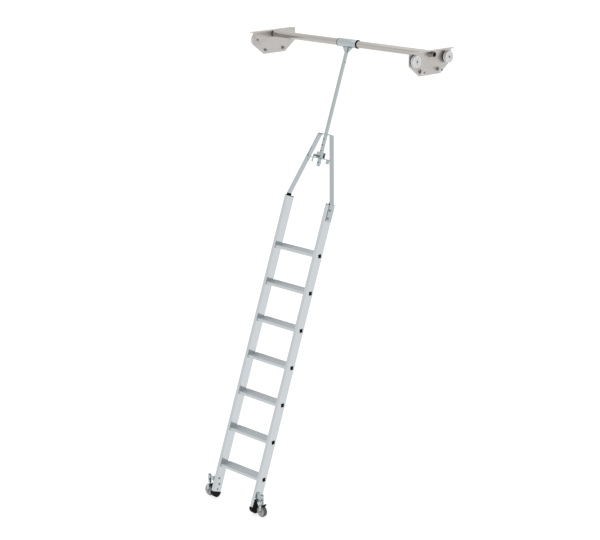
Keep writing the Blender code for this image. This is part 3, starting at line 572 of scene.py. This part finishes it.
for side, s in SIDES:
    # collar: a soft ring with a lip against the bracket
    prof = soft_profile([(19.3, 739.5), (22, 739.5), (22, 743.7), (19.3, 743.7)], 0.9)
    build('fine_tube_collar_' + side, lathed(prof, s, AXIS, 64),
          'trolley', BLACK, bevel=0.3, nodes=['tube_collar_' + side])

    # bracket: web and flange are one bent sheet
    sect = fillet([(s * WEB_IN, PLATE_LOW), (s * WEB_OUT, PLATE_LOW), (s * WEB_OUT, 22),
                   (s * FLANGE_OUT, 22),
                   (s * FLANGE_OUT, 26), (s * WEB_IN, 26)], [0, 0, 1.6, 0, 0, 5.4], 8)
    ops = [('keep', slab(PLATE_OUT, 'X', s * 740, s * 782)),
           ('keep', slab(rect(s * 700, s * FLANGE_OUT, -PLATE_HALF, PLATE_HALF, 4.0), 'Z', -150,
                         50)),
           ('cut', rod('X', AXIS, 18.6, s * 735, s * 760, 64))]
    for q in (-1, 1):
        ops.append(('cut', rod('X', (0, q * ROLLER_AT[0], ROLLER_AT[1]), 5.3, s * 735, s * 760)))
        ops.append(('cut', rod('X', (0, q * GUIDE_AT[0], GUIDE_AT[1]), 4.3, s * 735, s * 760)))
    build('fine_trolley_plate_' + side, slab(sect, 'Y', -PLATE_HALF, PLATE_HALF), 'trolley', SHEET,
          bevel=0, ops=ops, late=0.45, angle=40, nodes=['trolley_plate_' + side])
    prof = [(17, 690), (19, 690), (19, 785), (17, 785)]
    build('spigot_tube_' + side, lathed(prof, s, AXIS, 64),
          'trolley', TUBE, bevel=0.4)
    # black disc just inside the spigot's open end is painted shade that makes the end read as a dark hole
    build('spigot_shade_disc_' + side, slab(ring(0, 0, 16.9, 48), 'X', s * 778, s * 784), 'trolley',
          BLACK, bevel=0.4)
    build('spigot_weld_' + side, loop_bead('X', AXIS, 19.2, s * 748.3, 1.7), 'trolley', WELD,
          bevel=0)

    for end, q in ENDS:
        y, z = q * ROLLER_AT[0], ROLLER_AT[1]
        c = (0, y, z)
        # axle of a big roller: cap nut inside, spacer, shank, hexagon outside
        prof = [(6.2, 738.6), (7.0, 740.4), (7.0, 743.7), (5.0, 743.7), (5.0, 748.3), (9.0, 748.3),
                (9.0, 753.7),
                (5.0, 753.7), (5.0, 779.8), (7.6, 779.8), (7.6, 780.8), (4.2, 780.8), (4.2, 783.9),
                (3.4, 784)]
        build('fine_roller_axle_%s_%s' % (side, end), lathed_bolt(prof, s, c),
              'trolley', ZINC_DARK, bevel=0.25, ops=[('add',
                                                      hex_part('X', c, s * 780.7, s * 783.6, 11.5,
                                                               0.3))],
              nodes=['roller_axle_%s_%s' % (side, end)])
        prof = [(5.3, 754), (12.5, 754), (13.6, 757), (26.0, 757), (27.4, 754), (38.4, 754),
                (40.5, 756.1),
                (40.5, 758.2), (39.6, 759.6), (33.4, 763.0), (32, 764.6), (32, 769.0),
                (33.4, 770.6), (39.6, 773.9),
                (40.5, 775.3), (40.5, 777.4), (38.4, 779.5), (27.4, 779.5), (26.0, 776.5),
                (13.6, 776.5), (12.5, 779.5), (5.3, 779.5)]
        build('fine_roller_%s_%s' % (side, end), lathed(prof, s, c, 96),
              'rail_roller_%s_%s' % (side, end), NYLON, bevel=0.5, segs=3, angle=25,
              nodes=['roller_%s_%s' % (side, end)])

        y, z = q * GUIDE_AT[0], GUIDE_AT[1]
        c = (0, y, z)
        prof = [(4.0, 733.1), (4.0, 748.3), (7.0, 748.3), (7.0, 755.7), (4.0, 755.7), (4.0, 783.4),
                (3.4, 784)]
        build('fine_guide_axle_%s_%s' % (side, end), lathed_bolt(prof, s, c),
              'trolley', ZINC_DARK, bevel=0.25,
              ops=[('add', hex_part('X', c, s * 733.6, s * 742.4, 16.5, 0.2)),
                   ('add', rod('X', c, 9.8, s * 742.2, s * 743.7)),
                   ('add', hex_part('X', c, s * 775.3, s * 782.0, 12.0, 0.2))],
              nodes=['guide_axle_%s_%s' % (side, end)])
        prof = [(4.3, 756), (6.8, 756), (7.6, 757.2), (10.0, 757.2), (10.8, 756), (12.4, 756),
                (13.5, 757.1),
                (13.5, 773.9), (12.4, 775), (10.8, 775), (10.0, 773.8), (7.6, 773.8), (6.8, 775),
                (4.3, 775)]
        build('fine_guide_%s_%s' % (side, end), lathed(prof, s, c, 64),
              'guide_roller_%s_%s' % (side, end), NYLON, bevel=0.3, angle=25,
              nodes=['guide_%s_%s' % (side, end)])

    # bush: flange outside the sleeve, thin barrel inside it
    prof = [(24.45, 56), (26.9, 56), (26.9, 86.3), (30.15, 86.3), (30.15, 91), (25.4, 91),
            (24.45, 90)]
    build('fine_sleeve_bush_' + side, lathed(prof, s, AXIS, 96),
          'carriage', BLACK, bevel=0.6, segs=3, nodes=['sleeve_bush_' + side])

# ================================================================ hanger
POLE, POLE_WALL, POLE_FOOT = 10.0, 2.0, -884.0         # half width, wall and lower end
POLE_TOP = -27.6                                       # under the sleeve, as are the gussets
INDEX_V, PITCH, INDEX_R = -816.5, 42.0, 5.0            # lowest index hole, spacing, radius
PASSAGE = rect(-10.6, 10.6, -10.6, 10.6, 2.2)          # square hole that the pole slides through


def gussets(bm):
    for q in (-1, 1):
        loop = fillet([(q * 10.2, POLE_TOP), (q * 44, POLE_TOP), (q * 44, -33.5), (q * 10.2, -72)],
                      [0, 0, 4.0, 1.5], 5)
        prism(bm, loop, 'Y', -2.5, 2.5)


build('fine_pivot_sleeve', lambda bm: lathe(bm, [(27.2, -86), (30.15, -86), (30.15, 86),
                                                 (27.2, 86)], 'X', AXIS, 96),
      'hanger', ZINC, bevel=1.1, segs=3, ops=[('add', gussets, ROT)], nodes=['pivot_sleeve'])

outer = rect(-POLE, POLE, -POLE, POLE, 2.0, 5)
inner = rect(-POLE + POLE_WALL, POLE - POLE_WALL, -POLE + POLE_WALL, POLE - POLE_WALL, 0.7, 5)
ops = [('cut', rod('Y', (0, 0, INDEX_V + i * PITCH), INDEX_R, -20, 20, 32)) for i in range(4)]
ops.append(('cut', rod('Y', (0, 0, INDEX_V - PITCH), 4.1, -20, 20)))
pole = build('fine_hanger_pole', lambda bm: pipe(bm, outer, inner, 'Z', POLE_FOOT, POLE_TOP),
             'hanger', ZINC, at=ROT, bevel=0, ops=ops, nodes=['hanger_pole'])
pole.data.materials.append(BORE_SHADE.mat)
back = ROT.inverted()
for f in pole.data.polygons:            # the bore is painted dark as shade, so the index holes look dark
    p = back @ f.center
    if max(abs(p.x), abs(p.y)) < 0.0088 and p.z > -0.8835:
        f.material_index = 1
c = (0, 0, INDEX_V - PITCH)
prof = [(4.0, -13.9), (4.0, 18.8), (3.2, 19)]
build('pole_end_bolt', lambda bm: bolt_blank(bm, 'Y', c, prof), 'hanger', ZINC_DARK, at=ROT,
      bevel=0.2,
      ops=[('add', hex_part('Y', c, -14, -10.05, 12.6, 0.5)),
           ('add', hex_part('Y', c, 10.05, 16.3, 12.9, 0.2))])
c = (0, 0, -135)
build('fine_pole_stop_screw', lambda bm: bolt_blank(bm, 'X', c,
                                                    [(4.5, 10.2), (4.5, 12.4), (3.6, 13.5)]),
      'hanger',
      ZINC_DARK, at=ROT, bevel=0.4, ops=[('cut', hex_part('X', c, 11.6, 15, 3.2))],
      nodes=['pole_stop_screw'])
# weld seams under the sleeve and along the gussets
for q in (-1, 1):
    for q2 in (-1, 1):
        build('gusset_weld_%s_%s' % ('left' if q < 0 else 'right', 'front' if q2 < 0 else 'rear'),
              bead([(q * 11.0, q2 * 3.0, -70), (q * 11.0, q2 * 3.0, -31.5),
                    (q * 14, q2 * 3.2, -30.2),
                    (q * 42.5, q2 * 3.2, -30.2)], 1.5), 'hanger', WELD, at=ROT, bevel=0)
for q2, word in ((-1, 'front'), (1, 'rear')):
    build('pole_weld_' + word, bead([(-10.0, q2 * 10.6, -28.2), (10.0, q2 * 10.6, -28.2)], 1.5),
          'hanger', WELD, at=ROT, bevel=0)

# ================================================================ A-frame
LX = 212.5
BRIDGE_V, CROSS_V = -652.0, -826.0
BEND_V, FOOT_V = -1129.0, -1247.0
BAR_T = 6.0                                            # thickness of the flat bar
BAR_TOP_X, BAR_FOOT_X = 57.0, LX + 6.3                 # outer face at the bridge, at the stile
TILT = (BAR_FOOT_X - BAR_TOP_X) / (BRIDGE_V - BEND_V)
CT = BAR_T * math.sqrt(1 + TILT * TILT)                # that thickness, measured level
STRUT_BOLTS, BOLT_Y = (-1168, -1226), -7               # bolts of a bar into its stile


def strut_outer(v):
    return BAR_TOP_X + (BRIDGE_V - v) * TILT if v > BEND_V else BAR_FOOT_X


def strut_inner(v):
    return strut_outer(v) - CT


BAR_OUT = fillet([(-20, FOOT_V), (30, FOOT_V), (30, -1137), (20, -1131), (20, -640), (-20, -640)],
                 [4, 4, 4, 3, 0, 0], 4)
for side, s in SIDES:
    xo0, xo1 = BAR_TOP_X, BAR_FOOT_X
    kb = BAR_T * math.tan(math.atan(TILT) / 2)
    bar = fillet([(s * (xo0 - CT), BRIDGE_V), (s * xo0, BRIDGE_V), (s * xo1, BEND_V),
                  (s * xo1, FOOT_V),
                  (s * (xo1 - BAR_T), FOOT_V), (s * (xo1 - BAR_T), BEND_V - kb)],
                 [0, 4.5, 26, 0, 0, 20], 7)
    ops = [('keep', slab(BAR_OUT, 'X', 0, s * 260))]
    for v in STRUT_BOLTS:
        ops.append(('cut', rod('X', (0, BOLT_Y, v), 4.5, s * 200, s * 230)))
    build('fine_strut_' + side, slab(bar, 'Y', -20.5, 30.5), 'ladder', ZINC, at=ROT, bevel=0,
          ops=ops, late=0.5, angle=40, nodes=['strut_' + side])
    build('bridge_weld_' + side, bead([(s * 49.2, -17, BRIDGE_V - 7.2),
                                       (s * 49.2, 17, BRIDGE_V - 7.2)], 1.7),
          'ladder', WELD, at=ROT, bevel=0)
    # two bolts through the bar into a nut plate inside the stile
    o = xo1 + 0.3
    ops = []
    for v in STRUT_BOLTS:
        c = (0, BOLT_Y, v)
        prof = [(4, s * 205), (4, s * o), (8.0, s * o), (8.0, s * (o + 1.3)), (4, s * (o + 1.3)),
                (4, s * (o + 1.5))]
        ops += [('add', lambda bm, c=c, prof=prof: bolt_blank(bm, 'X', c, prof)),
                ('add', hex_part('X', c, s * (o + 1.2), s * (o + 4.6), 12.4,
                                 0.4 if v > -1200 else 0.1))]
    build('fine_strut_bolts_' + side,
          slab(rect(-18, 4, -1237, -1157, 2.0), 'X', s * (LX - 7.2), s * (LX - 2.5)), 'ladder',
          ZINC_DARK, at=ROT, bevel=0.4, ops=ops, nodes=['strut_bolts_' + side])

bx = BAR_TOP_X - CT - 0.3
build('fine_top_bridge', slab(rect(-bx, bx, -20, 20), 'Z', BRIDGE_V - 6, BRIDGE_V), 'ladder', ZINC,
      at=ROT, bevel=0.6, ops=[('cut', slab(PASSAGE, 'Z', -670, -640))], nodes=['top_bridge'])

xa = strut_outer(CROSS_V) - CT - 1.0
loop = [(-xa, CROSS_V), (xa, CROSS_V), (xa + 1.6, CROSS_V - 5), (-xa - 1.6, CROSS_V - 5)]
ops = [('cut', slab(PASSAGE, 'Z', -850, -810))]
# the tabs are turned down from the front edge, with a bend where they start
turned = fillet([(-20.2, CROSS_V - 33), (-16.6, CROSS_V - 33), (-16.6, CROSS_V - 4.4),
                 (-8, CROSS_V - 4.4),
                 (-8, CROSS_V - 0.4), (-20.2, CROSS_V - 0.4)], [0, 0, 2.0, 0, 0, 4.0], 6)
for s in (-1, 1):
    ops.append(('add', slab(turned, 'X', s * (xa - 28), s * (xa - 0.6))))
build('fine_cross_plate', slab(loop, 'Y', -20, 20), 'ladder', ZINC, at=ROT, bevel=0.6, ops=ops,
      late=0.3, angle=45, nodes=['cross_plate'])
for side, s in SIDES:
    build('cross_weld_' + side, bead([(s * (xa + 0.4), -17, CROSS_V - 1.8),
                                      (s * (xa + 0.4), 17, CROSS_V - 1.8)], 1.6),
          'ladder', WELD, at=ROT, bevel=0)

u0, u1 = CROSS_V + 0.3, -784.0
loop = fillet([(-26, u0), (26, u0), (26, u1), (22.5, u1), (22.5, u0 + 3.5), (-22.5, u0 + 3.5),
               (-22.5, u1), (-26, u1)], [5, 5, 0, 0, 1.6, 1.6, 0, 0], 6)
build('fine_latch_bracket', slab(loop, 'X', -20, 20), 'ladder', ZINC, at=ROT, bevel=0, late=0.4,
      angle=40,
      ops=[('keep', slab(fillet([(-20, -850), (20, -850), (20, u1), (-20, u1)], [0, 0, 5, 5], 5),
                         'Y', -30, 30)),
           ('cut', slab(PASSAGE, 'Z', -850, -815)),
           ('cut', rod('Y', (0, 0, INDEX_V), 7.8, -30, -20))], nodes=['latch_bracket'])
c = (0, 0, INDEX_V)
build('fine_index_housing', lambda bm: lathe(bm, [(4.8, -46), (6.9, -46), (7.5, -45.3), (7.5, -21),
                                                  (4.8, -21)], 'Y',
                                             c, 48), 'ladder', ZINC_DARK, at=ROT, bevel=0.3,
      ops=[('add', hex_part('Y', c, -31.5, -26.2, 16.2, 0.0)),
           ('cut', rod('Y', c, 4.8, -50, -10))], nodes=['index_housing'])

# ---- index bolt: knurled knob, lever and pin with a turned tip
KNOB_R, KNURL_R, KNURLS = 9.0, 8.45, 36
knurl = []
for k in range(2 * KNURLS):
    r, a = KNOB_R if k % 2 else KNURL_R, math.pi * k / KNURLS
    knurl.append((r * math.cos(a), INDEX_V + r * math.sin(a)))
lever = fillet([(-5.5, INDEX_V - 49), (5.5, INDEX_V - 49), (4.6, INDEX_V + 4), (-4.6, INDEX_V + 4)],
               4.5, 6)
build('fine_index_bolt', slab(knurl, 'Y', -69.2, -54.5), 'index_pin', ZINC_DARK, at=ROT, bevel=0.0,
      ops=[('add', lambda bm: bolt_blank(bm, 'Y', c, [(4.5, -58), (4.5, -13), (2.5, -11)]))],
      late=0.25, angle=40, nodes=['index_bolt'])
build('index_lever', slab(lever, 'Y', -73.5, -69.25), 'index_pin', ZINC, at=ROT, bevel=0.5)

# ================================================================ stiles
STILE_TOP, STILE_END, HALF_D = -1131.0, -3292.0, 36.5
STUDS = ((-1101.0, -2995.0), (-1101.5, -3039.0))       # of a castor bracket: world Y, Z
RIVET_AT = (0, -1119.5, -3072)
STILE_W, WALL = 25, 2.2
# half widths of the hole in a stile, the tread's box and the bore of that box
SOCKET, SPIGOT, BORE_HALF = 13.5, 13.2, 11.4


def plug_at(k):
    z = FLOOR + 250.0 * k - 15.5
    return z / math.tan(LEAN) + 10.6, z


def stile_outline(x0, x1):
    """Box 25 by 73 with soft corners and three fine grooves in its narrow faces."""
    r, d = 3.2, HALF_D
    xm = (x0 + x1) / 2
    loop = fillet([(x0, -d), (x1, -d), (x1, d), (x0, d)], r, 5)
    out = []
    for i, (a, b) in enumerate(loop):
        out.append((a, b))
        na, nb = loop[(i + 1) % len(loop)]
        if abs(b - nb) < 1e-6 and abs(a - na) > 10:        # a long run across a narrow face
            sgn = 1 if na > a else -1
            inward = 0.45 if b < 0 else -0.45
            for gx in (-5.5, 0.0, 5.5):
                m = xm + sgn * gx
                out += [(m - sgn * 0.55, b), (m - sgn * 0.2, b + inward),
                        (m + sgn * 0.2, b + inward), (m + sgn * 0.55, b)]
    return out


for side, s in SIDES:
    x0, x1 = span(s, LX - STILE_W, LX)
    ops = [('cut', slab(rect(x0 + WALL, x1 - WALL, -HALF_D + WALL, HALF_D - WALL, 1.2, 3), 'Z',
                        STILE_END - 5, STILE_TOP + 5))]
    for k in range(1, 8):
        y, z = plug_at(k)
        ops.append(('cut', slab(square(y, z, SOCKET, 2.2), 'X', s * 170, s * 230), ID))
    for y, z in STUDS:
        ops.append(('cut', rod('X', (0, y, z), 4.5, s * 170, s * 230), ID))
    ops.append(('cut', rod('X', RIVET_AT, 4.0, s * 180, s * 195), ID))
    for v in STRUT_BOLTS:
        ops.append(('cut', rod('X', (0, BOLT_Y, v), 4.5, s * 205, s * 220)))
    build('fine_stile_' + side, slab(stile_outline(x0, x1), 'Z', STILE_END, STILE_TOP), 'ladder',
          ANODISED, at=ROT, bevel=0, ops=ops, sharp=28, nodes=['stile_' + side])

    x0, x1 = span(s, LX - 24.5, LX - 4)
    va, vb = STILE_TOP + 2, STILE_TOP + 19
    wedge = [(s * (strut_inner(va) - 10), va), (s * (strut_inner(va) - 4), va),
             (s * (strut_inner(va + 4) - 0.7), va + 4), (s * (strut_inner(vb) - 0.7), vb),
             (s * (strut_inner(vb) - 5), vb)]
    build('fine_stile_cap_' + side, slab(rect(x0, x1, -36, 36, 3.0), 'Z', STILE_TOP + 0.3,
                                         STILE_TOP + 5), 'ladder',
          BLACK, at=ROT, bevel=0.7, ops=[('add', slab(fillet(wedge, [1, 0.5, 0.5, 1, 1.5], 3), 'Y',
                                                      -19, 19))],
          late=0.3, angle=45, nodes=['stile_cap_' + side])
    v = STILE_TOP + 6
    build('bend_bolt_' + side, lambda bm: bolt_blank(bm, 'Y', (s * (strut_outer(v) - CT / 2), 0, v),
                                                     [(2.7, 20.1), (2.7, 29.2), (2.1, 29.9)]),
          'ladder', ZINC_DARK, at=ROT, bevel=0.2)
    # black blind rivet in the stile's inner face, low down
    build('rivet_' + side, lambda bm: lathe(bm, [(0, s * (LX - 24)), (3.8, s * (LX - 24)),
                                                 (3.8, s * (LX - 25.2)),
                                                 (5.6, s * (LX - 25.2)), (4.8, s * (LX - 26.2)),
                                                 (0, s * (LX - 26.4))], 'X',
                                            RIVET_AT, 32, closed=False), 'ladder', BLACK, bevel=0.2)

# ================================================================ treads
RIBS, RIB_H, TREAD_TOP = 19, 0.75, 15.5
RIBS_FROM, RIBS_TO = -36.6, 43.0                       # along the tread's depth


def tread_outline():
    """Side view of a tread about its box's middle: ribbed top, nose, rear lip, box."""
    top, base = TREAD_TOP, TREAD_TOP - RIB_H
    a0, a1 = RIBS_FROM, RIBS_TO
    pts = [(-39.4, 15.3)]
    step = (a1 - a0) / RIBS
    for i in range(RIBS):
        a = a0 + i * step
        pts += [(a + step * 0.10, top), (a + step * 0.36, base), (a + step * 0.64, base),
                (a + step * 0.90, top)]
    pts += [(45.5, 15.4), (45.5, 2.0), (42.9, 2.0), (42.9, 12.9), (15, 12.7), (15, -14.5),
            (-15, -14.5), (-15, 12.7), (-36.8, 12.9), (-36.8, -5.0), (-39.4, -5.0)]
    rad = [1.6] + [0.0] * (4 * RIBS) + [1.6, 0.9, 0.9, 1.2, 1.5, 1.5, 1.5, 1.5, 1.2, 0.9, 0.9]
    return fillet(pts, rad, 4)


y1, z1 = plug_at(1)
base_tread = build('fine_tread_1', slab([(a + y1, b + z1) for a, b in tread_outline()], 'X', -187.2,
                                        187.2), 'ladder',
                   TREAD, bevel=0, sharp=25,
                   ops=[('add', slab(square(y1, z1, SPIGOT, 2.0), 'X', -212.3, 212.3)),
                        ('cut', slab(square(y1, z1, BORE_HALF, 1.0), 'X', -230, 230))],
                   nodes=['tread_1'])



def shade_ribbed_top(ob, y, z):
    """Second material on the ribbed top of the tread whose box is centred on y and z: a duller finish, with
    a darker colour painted on as the shade between the ribs.
    """
    ob.data.materials.append(RIBBED_SHADE.mat)
    for f in ob.data.polygons:
        b = f.center.y * 1000 - y
        inside = RIBS_FROM - 0.3 < b < RIBS_TO + 0.2
        if f.center.z * 1000 > z + TREAD_TOP - 1.3 and inside and abs(f.normal.x) < 0.5:
            f.material_index = 1


shade_ribbed_top(base_tread, y1, z1)
base_plugs = []
for side, s in SIDES:
    base_plugs.append(build('tread_plug_%s_1' % side,
                            slab(square(y1, z1, 13.4, 2.2), 'X', s * 212.4, s * 213.9),
                            'ladder', BLACK, bevel=0.35, sharp=40,
                            ops=[('add', slab(square(y1, z1, 11.2, 1.0), 'X', s * 200,
                                              s * 212.8))]))


def copy_piece(src, name, move, body, mat, nodes=()):
    me = src.data.copy()
    me.name = name
    me.transform(Matrix.Translation(Vector(move) * 0.001))
    ob = bpy.data.objects.new(name, me)
    scene.collection.objects.link(ob)
    return finish_piece(ob, body, mat, nodes)


for k in range(2, 8):
    y, z = plug_at(k)
    move = (0, y - y1, z - z1)
    shade_ribbed_top(copy_piece(base_tread, 'fine_tread_%d' % k, move, 'ladder', TREAD, ['tread_%d' % k]),
               y, z)
    for (side, s), src in zip(SIDES, base_plugs):
        copy_piece(src, 'tread_plug_%s_%d' % (side, k), move, 'ladder', BLACK)

# ================================================================ feet
for side, s in SIDES:
    d, lo = HALF_D, STILE_END
    bowl = fillet([(-d - 2, lo + 5), (-d - 2.5, lo - 3), (-d + 1, lo - 13), (-d + 9, lo - 22),
                   (-d + 20, lo - 30),
                   (-3, lo - 35.5), (8, lo - 36.5), (19, lo - 34), (28, lo - 27), (d - 1, lo - 16),
                   (d + 2, lo - 5), (d + 2, lo + 5)], [0.8] + [6.0] * 10 + [0.8], 4)
    x0, x1 = span(s, LX - 27.3, LX + 2.3)
    lug = fillet([(-d - 1, lo + 1), (-d + 5.5, lo + 62), (-d + 11, lo + 64), (d - 16, lo + 10),
                  (d - 10, lo + 1)],
                 [0, 2.5, 2.5, 6, 0], 5)
    ops = [('add', slab(lug, 'X', s * (LX + 0.3), s * (LX + 7.3))),
           ('cut', slab(rect(*span(s, LX - 25.3, LX + 0.3), -d - 0.3, d + 0.3), 'Z', lo - 0.3,
                        lo + 80))]
    # grip grooves across the sole, shallower where the sole curves up
    for i in range(7):
        a = -16 + i * 6.2
        deep = lo - 33.4 + abs(a - 8) * 0.28
        ops.append(('cut', slab([(a, lo - 60), (a + 1.8, lo - 60), (a + 1.8, deep), (a, deep)], 'X',
                                s * 150, s * 240)))
    build('fine_foot_' + side, slab(bowl, 'X', x0, x1), 'ladder', RUBBER, at=ROT, bevel=2.2, segs=3,
          angle=50, ops=ops, late=0.3, nodes=['foot_' + side])

# ================================================================ castors
# swivel axis, wheel centre, top of the fork
CY, WZ, FORK_TOP = -1119.0, FLOOR + 40.0, FLOOR + 87.0
Z0, Z1 = -3041.0, -2981.0                              # lower and upper end of the spring housing
for side, s in SIDES:
    cx = s * 268.0
    web = fillet([(-1120, -2982), (-1088, -2982), (-1096, -3052), (-1112, -3052), (-1113.5, -3020),
                  (-1127, -3018.5)],
                 [1.5, 5, 4, 4, 2, 2], 5)
    ox = LX + 14.3                 # outer face of the channel
    barrel = soft_profile([(0, Z0), (12.5, Z0), (12.5, Z1 - 6), (13.3, Z1 - 5), (13.3, Z1 - 3),
                           (12.0, Z1), (8.6, Z1), (8.6, Z1 - 2.6), (0, Z1 - 2.6)], 0.8)
    ops = [('cut', slab(rect(*span(s, LX + 3.5, ox - 3.2), -1140, -1102), 'Z', -3060, -2985.5)),
           ('add', slab(rect(*span(s, ox - 2.5, 262), -1122, -1116), 'Z', -3019, -2986)),
           ('add', lambda bm: lathe(bm, barrel, 'Z', (cx, CY, 0), 48, closed=False)),
           ('cut', lambda bm: lathe(bm, [(0, Z0 - 5), (6.3, Z0 - 5), (6.3, Z0 + 3), (10.0, Z0 + 4),
                                         (10.0, Z1 - 9),
                                         (0, Z1 - 9)], 'Z', (cx, CY, 0), 48, closed=False))]
    turn = Matrix.Translation((cx, CY, 0)) @ Matrix.Rotation(math.radians(45), 4, 'Z')
    slot_loop = fillet([(-4.5, -3023), (4.5, -3023), (4.5, -3003), (-4.5, -3003)], 4.4, 6)
    ops.append(('cut', slab(slot_loop, 'Y', -16, -4), turn))
    for y, z in STUDS:
        c = (0, y, z)
        prof = [(4.0, s * 186.8), (4.0, s * (ox - 1))]
        ops.append(('add', lambda bm, c=c, prof=prof: bolt_blank(bm, 'X', c, prof)))
    build('fine_castor_bracket_' + side, slab(web, 'X', s * (LX + 0.3), s * ox), 'ladder', ZINC,
          bevel=0.5, ops=ops, late=0.3, angle=45, nodes=['castor_bracket_' + side])
    build('housing_top_nut_' + side, hex_part('Z', (cx, CY, 0), Z1 - 2.7, Z1 + 4.4, 11.0), 'ladder',
          ZINC_DARK, bevel=0.3, ops=[('add', rod('Z', (cx, CY, 0), 3.4, Z1, Z1 + 6.8))], late=0.3)
    build('stud_outer_nut_' + side, hex_part('X', (0,) + STUDS[1], s * (ox + 0.05), s * (ox + 2.6),
                                             10.6, 0.2), 'ladder',
          ZINC_DARK, bevel=0.3)
    for y, z in STUDS:
        build('stud_nut_%s_%d' % (side, 1 if z > -3000 else 2),
              lambda bm: lathe(bm, [(0, s * 183.2), (6.0, s * 183.2), (8.0, s * 185.0),
                                    (8.0, s * 187.2),
                                    (0, s * 187.2)], 'X', (0, y, z), 32, closed=False), 'ladder',
              ZINC_DARK, bevel=0.3,
              ops=[('cut', hex_part('X', (0, y, z), s * 182, s * 184.6, 5.0))])

    # spring round the stem, seen through the slot
    def coil(bm):
        turns, n, r, wire, seg = 9, 22, 8.1, 1.0, 8
        za, zb = Z0 + 5.2, Z1 - 19.0
        rows = []
        for i in range(turns * n + 1):
            a = 2 * math.pi * i / n
            p = Vector((cx + r * math.cos(a), CY + r * math.sin(a),
                        za + (zb - za) * i / (turns * n)))
            out = Vector((math.cos(a), math.sin(a), 0))
            rows.append([bm.verts.new(p + out * wire * math.cos(2 * math.pi * k / seg) +
                                      Vector((0, 0,
                                              wire * math.sin(2 * math.pi * k / seg)))) for k in range(seg)])
        close_tube(bm, rows)
    build('castor_spring_' + side, coil, 'ladder', ZINC_DARK, bevel=0, sharp=60)

    prof = soft_profile([(0, FORK_TOP + 0.3), (9.0, FORK_TOP + 0.3), (9.0, FORK_TOP + 1.3),
                         (6.0, FORK_TOP + 1.5),
                         (6.0, Z1 - 19.5), (5.0, Z1 - 18.5), (0, Z1 - 18.5)], 0.5)
    build('fine_castor_stem_' + side, lambda bm: lathe(bm, prof, 'Z', (cx, CY, 0), 48,
                                                       closed=False),
          'sprung_stem_' + side, ZINC, bevel=0.2, nodes=['castor_stem_' + side])

    # fork: one folded strap, its legs narrowing to the axle
    strap = fillet([(CY - 21, WZ - 9), (CY - 18, WZ - 9), (CY - 18, FORK_TOP - 3.5),
                    (CY + 18, FORK_TOP - 3.5),
                    (CY + 18, WZ - 9), (CY + 21, WZ - 9), (CY + 21, FORK_TOP), (CY - 21, FORK_TOP)],
                   [0, 0, 2, 2, 0, 0, 5.2, 5.2], 6)
    leg = fillet([(cx - 7.5, WZ - 9), (cx + 7.5, WZ - 9), (cx + 11, WZ + 24),
                  (cx + 11, FORK_TOP + 5),
                  (cx - 11, FORK_TOP + 5), (cx - 11, WZ + 24)], [7, 7, 10, 0, 0, 10], 6)
    build('fine_castor_fork_' + side, slab(strap, 'X', cx - 11, cx + 11), 'swivel_fork_' + side,
          ZINC, bevel=0,
          ops=[('keep', slab(leg, 'Y', CY - 30, CY + 30)),
               ('cut', rod('Y', (cx, 0, WZ), 4.3, CY - 30, CY + 30))],
          late=0.4, angle=40, nodes=['castor_fork_' + side])
    c = (cx, 0, WZ)
    build('fine_castor_axle_' + side, lambda bm: bolt_blank(bm, 'Y', c,
                                                            [(3.9, CY - 21.5), (3.9, CY + 25),
                                                                         (3.2, CY + 25.5)]),
          'swivel_fork_' + side, ZINC_DARK, bevel=0.2,
          ops=[('add', hex_part('Y', c, CY - 25.5, CY - 21.3, 12.0, 0.3)),
               ('add', hex_part('Y', c, CY + 21.3, CY + 24.7, 12.0, 0.1))],
          nodes=['castor_axle_' + side])

    core = [(4.3, -16), (8.5, -16), (9.6, -14.0), (20.5, -13.4), (22.5, -15.5), (31.8, -15.9),
            (32.7, -15.1),
            (32.7, 15.1), (31.8, 15.9), (22.5, 15.5), (20.5, 13.4), (9.6, 14.0), (8.5, 16),
            (4.3, 16)]
    build('wheel_core_' + side, lambda bm: lathe(bm, [(r, CY + d) for r, d in core], 'Y', c, 80),
          'wheel_' + side, HUB, bevel=0.5, segs=3, angle=18, nodes=['castor_wheel_' + side])
    tyre = soft_profile([(32.8, -15.8), (33.2, -15.8), (37.2, -12.0), (39.9, -8.8), (39.9, -4.4),
                         (39.3, -4.0),
                         (39.3, -3.3), (39.9, -2.9), (39.9, 2.9), (39.3, 3.3), (39.3, 4.0),
                         (39.9, 4.4), (39.9, 8.8), (37.2, 12.0), (33.2, 15.8), (32.8, 15.8)], 0.3)
    build('wheel_tyre_' + side, lambda bm: lathe(bm, [(r, CY + d) for r, d in tyre], 'Y', c, 80),
          'wheel_' + side, TYRE, bevel=0)

    # brake pedal: shoe over the tyre with a raised, ribbed toe
    shoe = fillet([(cx + 14.5, WZ + 41.4), (cx + 23.5, WZ + 37.0), (cx + 26.5, WZ + 42.0),
                   (cx + 34.5, WZ + 56.5),
                   (cx + 29.5, WZ + 60.0), (cx + 20.5, WZ + 48.5), (cx + 14.5, WZ + 47.3)],
                  [2, 2, 3, 2, 2, 5, 2], 5)
    ops = []
    for t in (0.25, 0.5, 0.75):                    # ribs up the toe
        rib = (cx + 20.5 + 9.0 * t, 0, WZ + 48.5 + 11.5 * t)
        ops.append(('add', rod('Y', rib, 1.1, CY - 9, CY + 9, 16)))
    build('fine_brake_pedal_' + side, slab(shoe, 'Y', CY - 11, CY + 11), 'brake_' + side, BLACK,
          bevel=1.0, segs=3, angle=40, ops=ops, nodes=['brake_pedal_' + side])
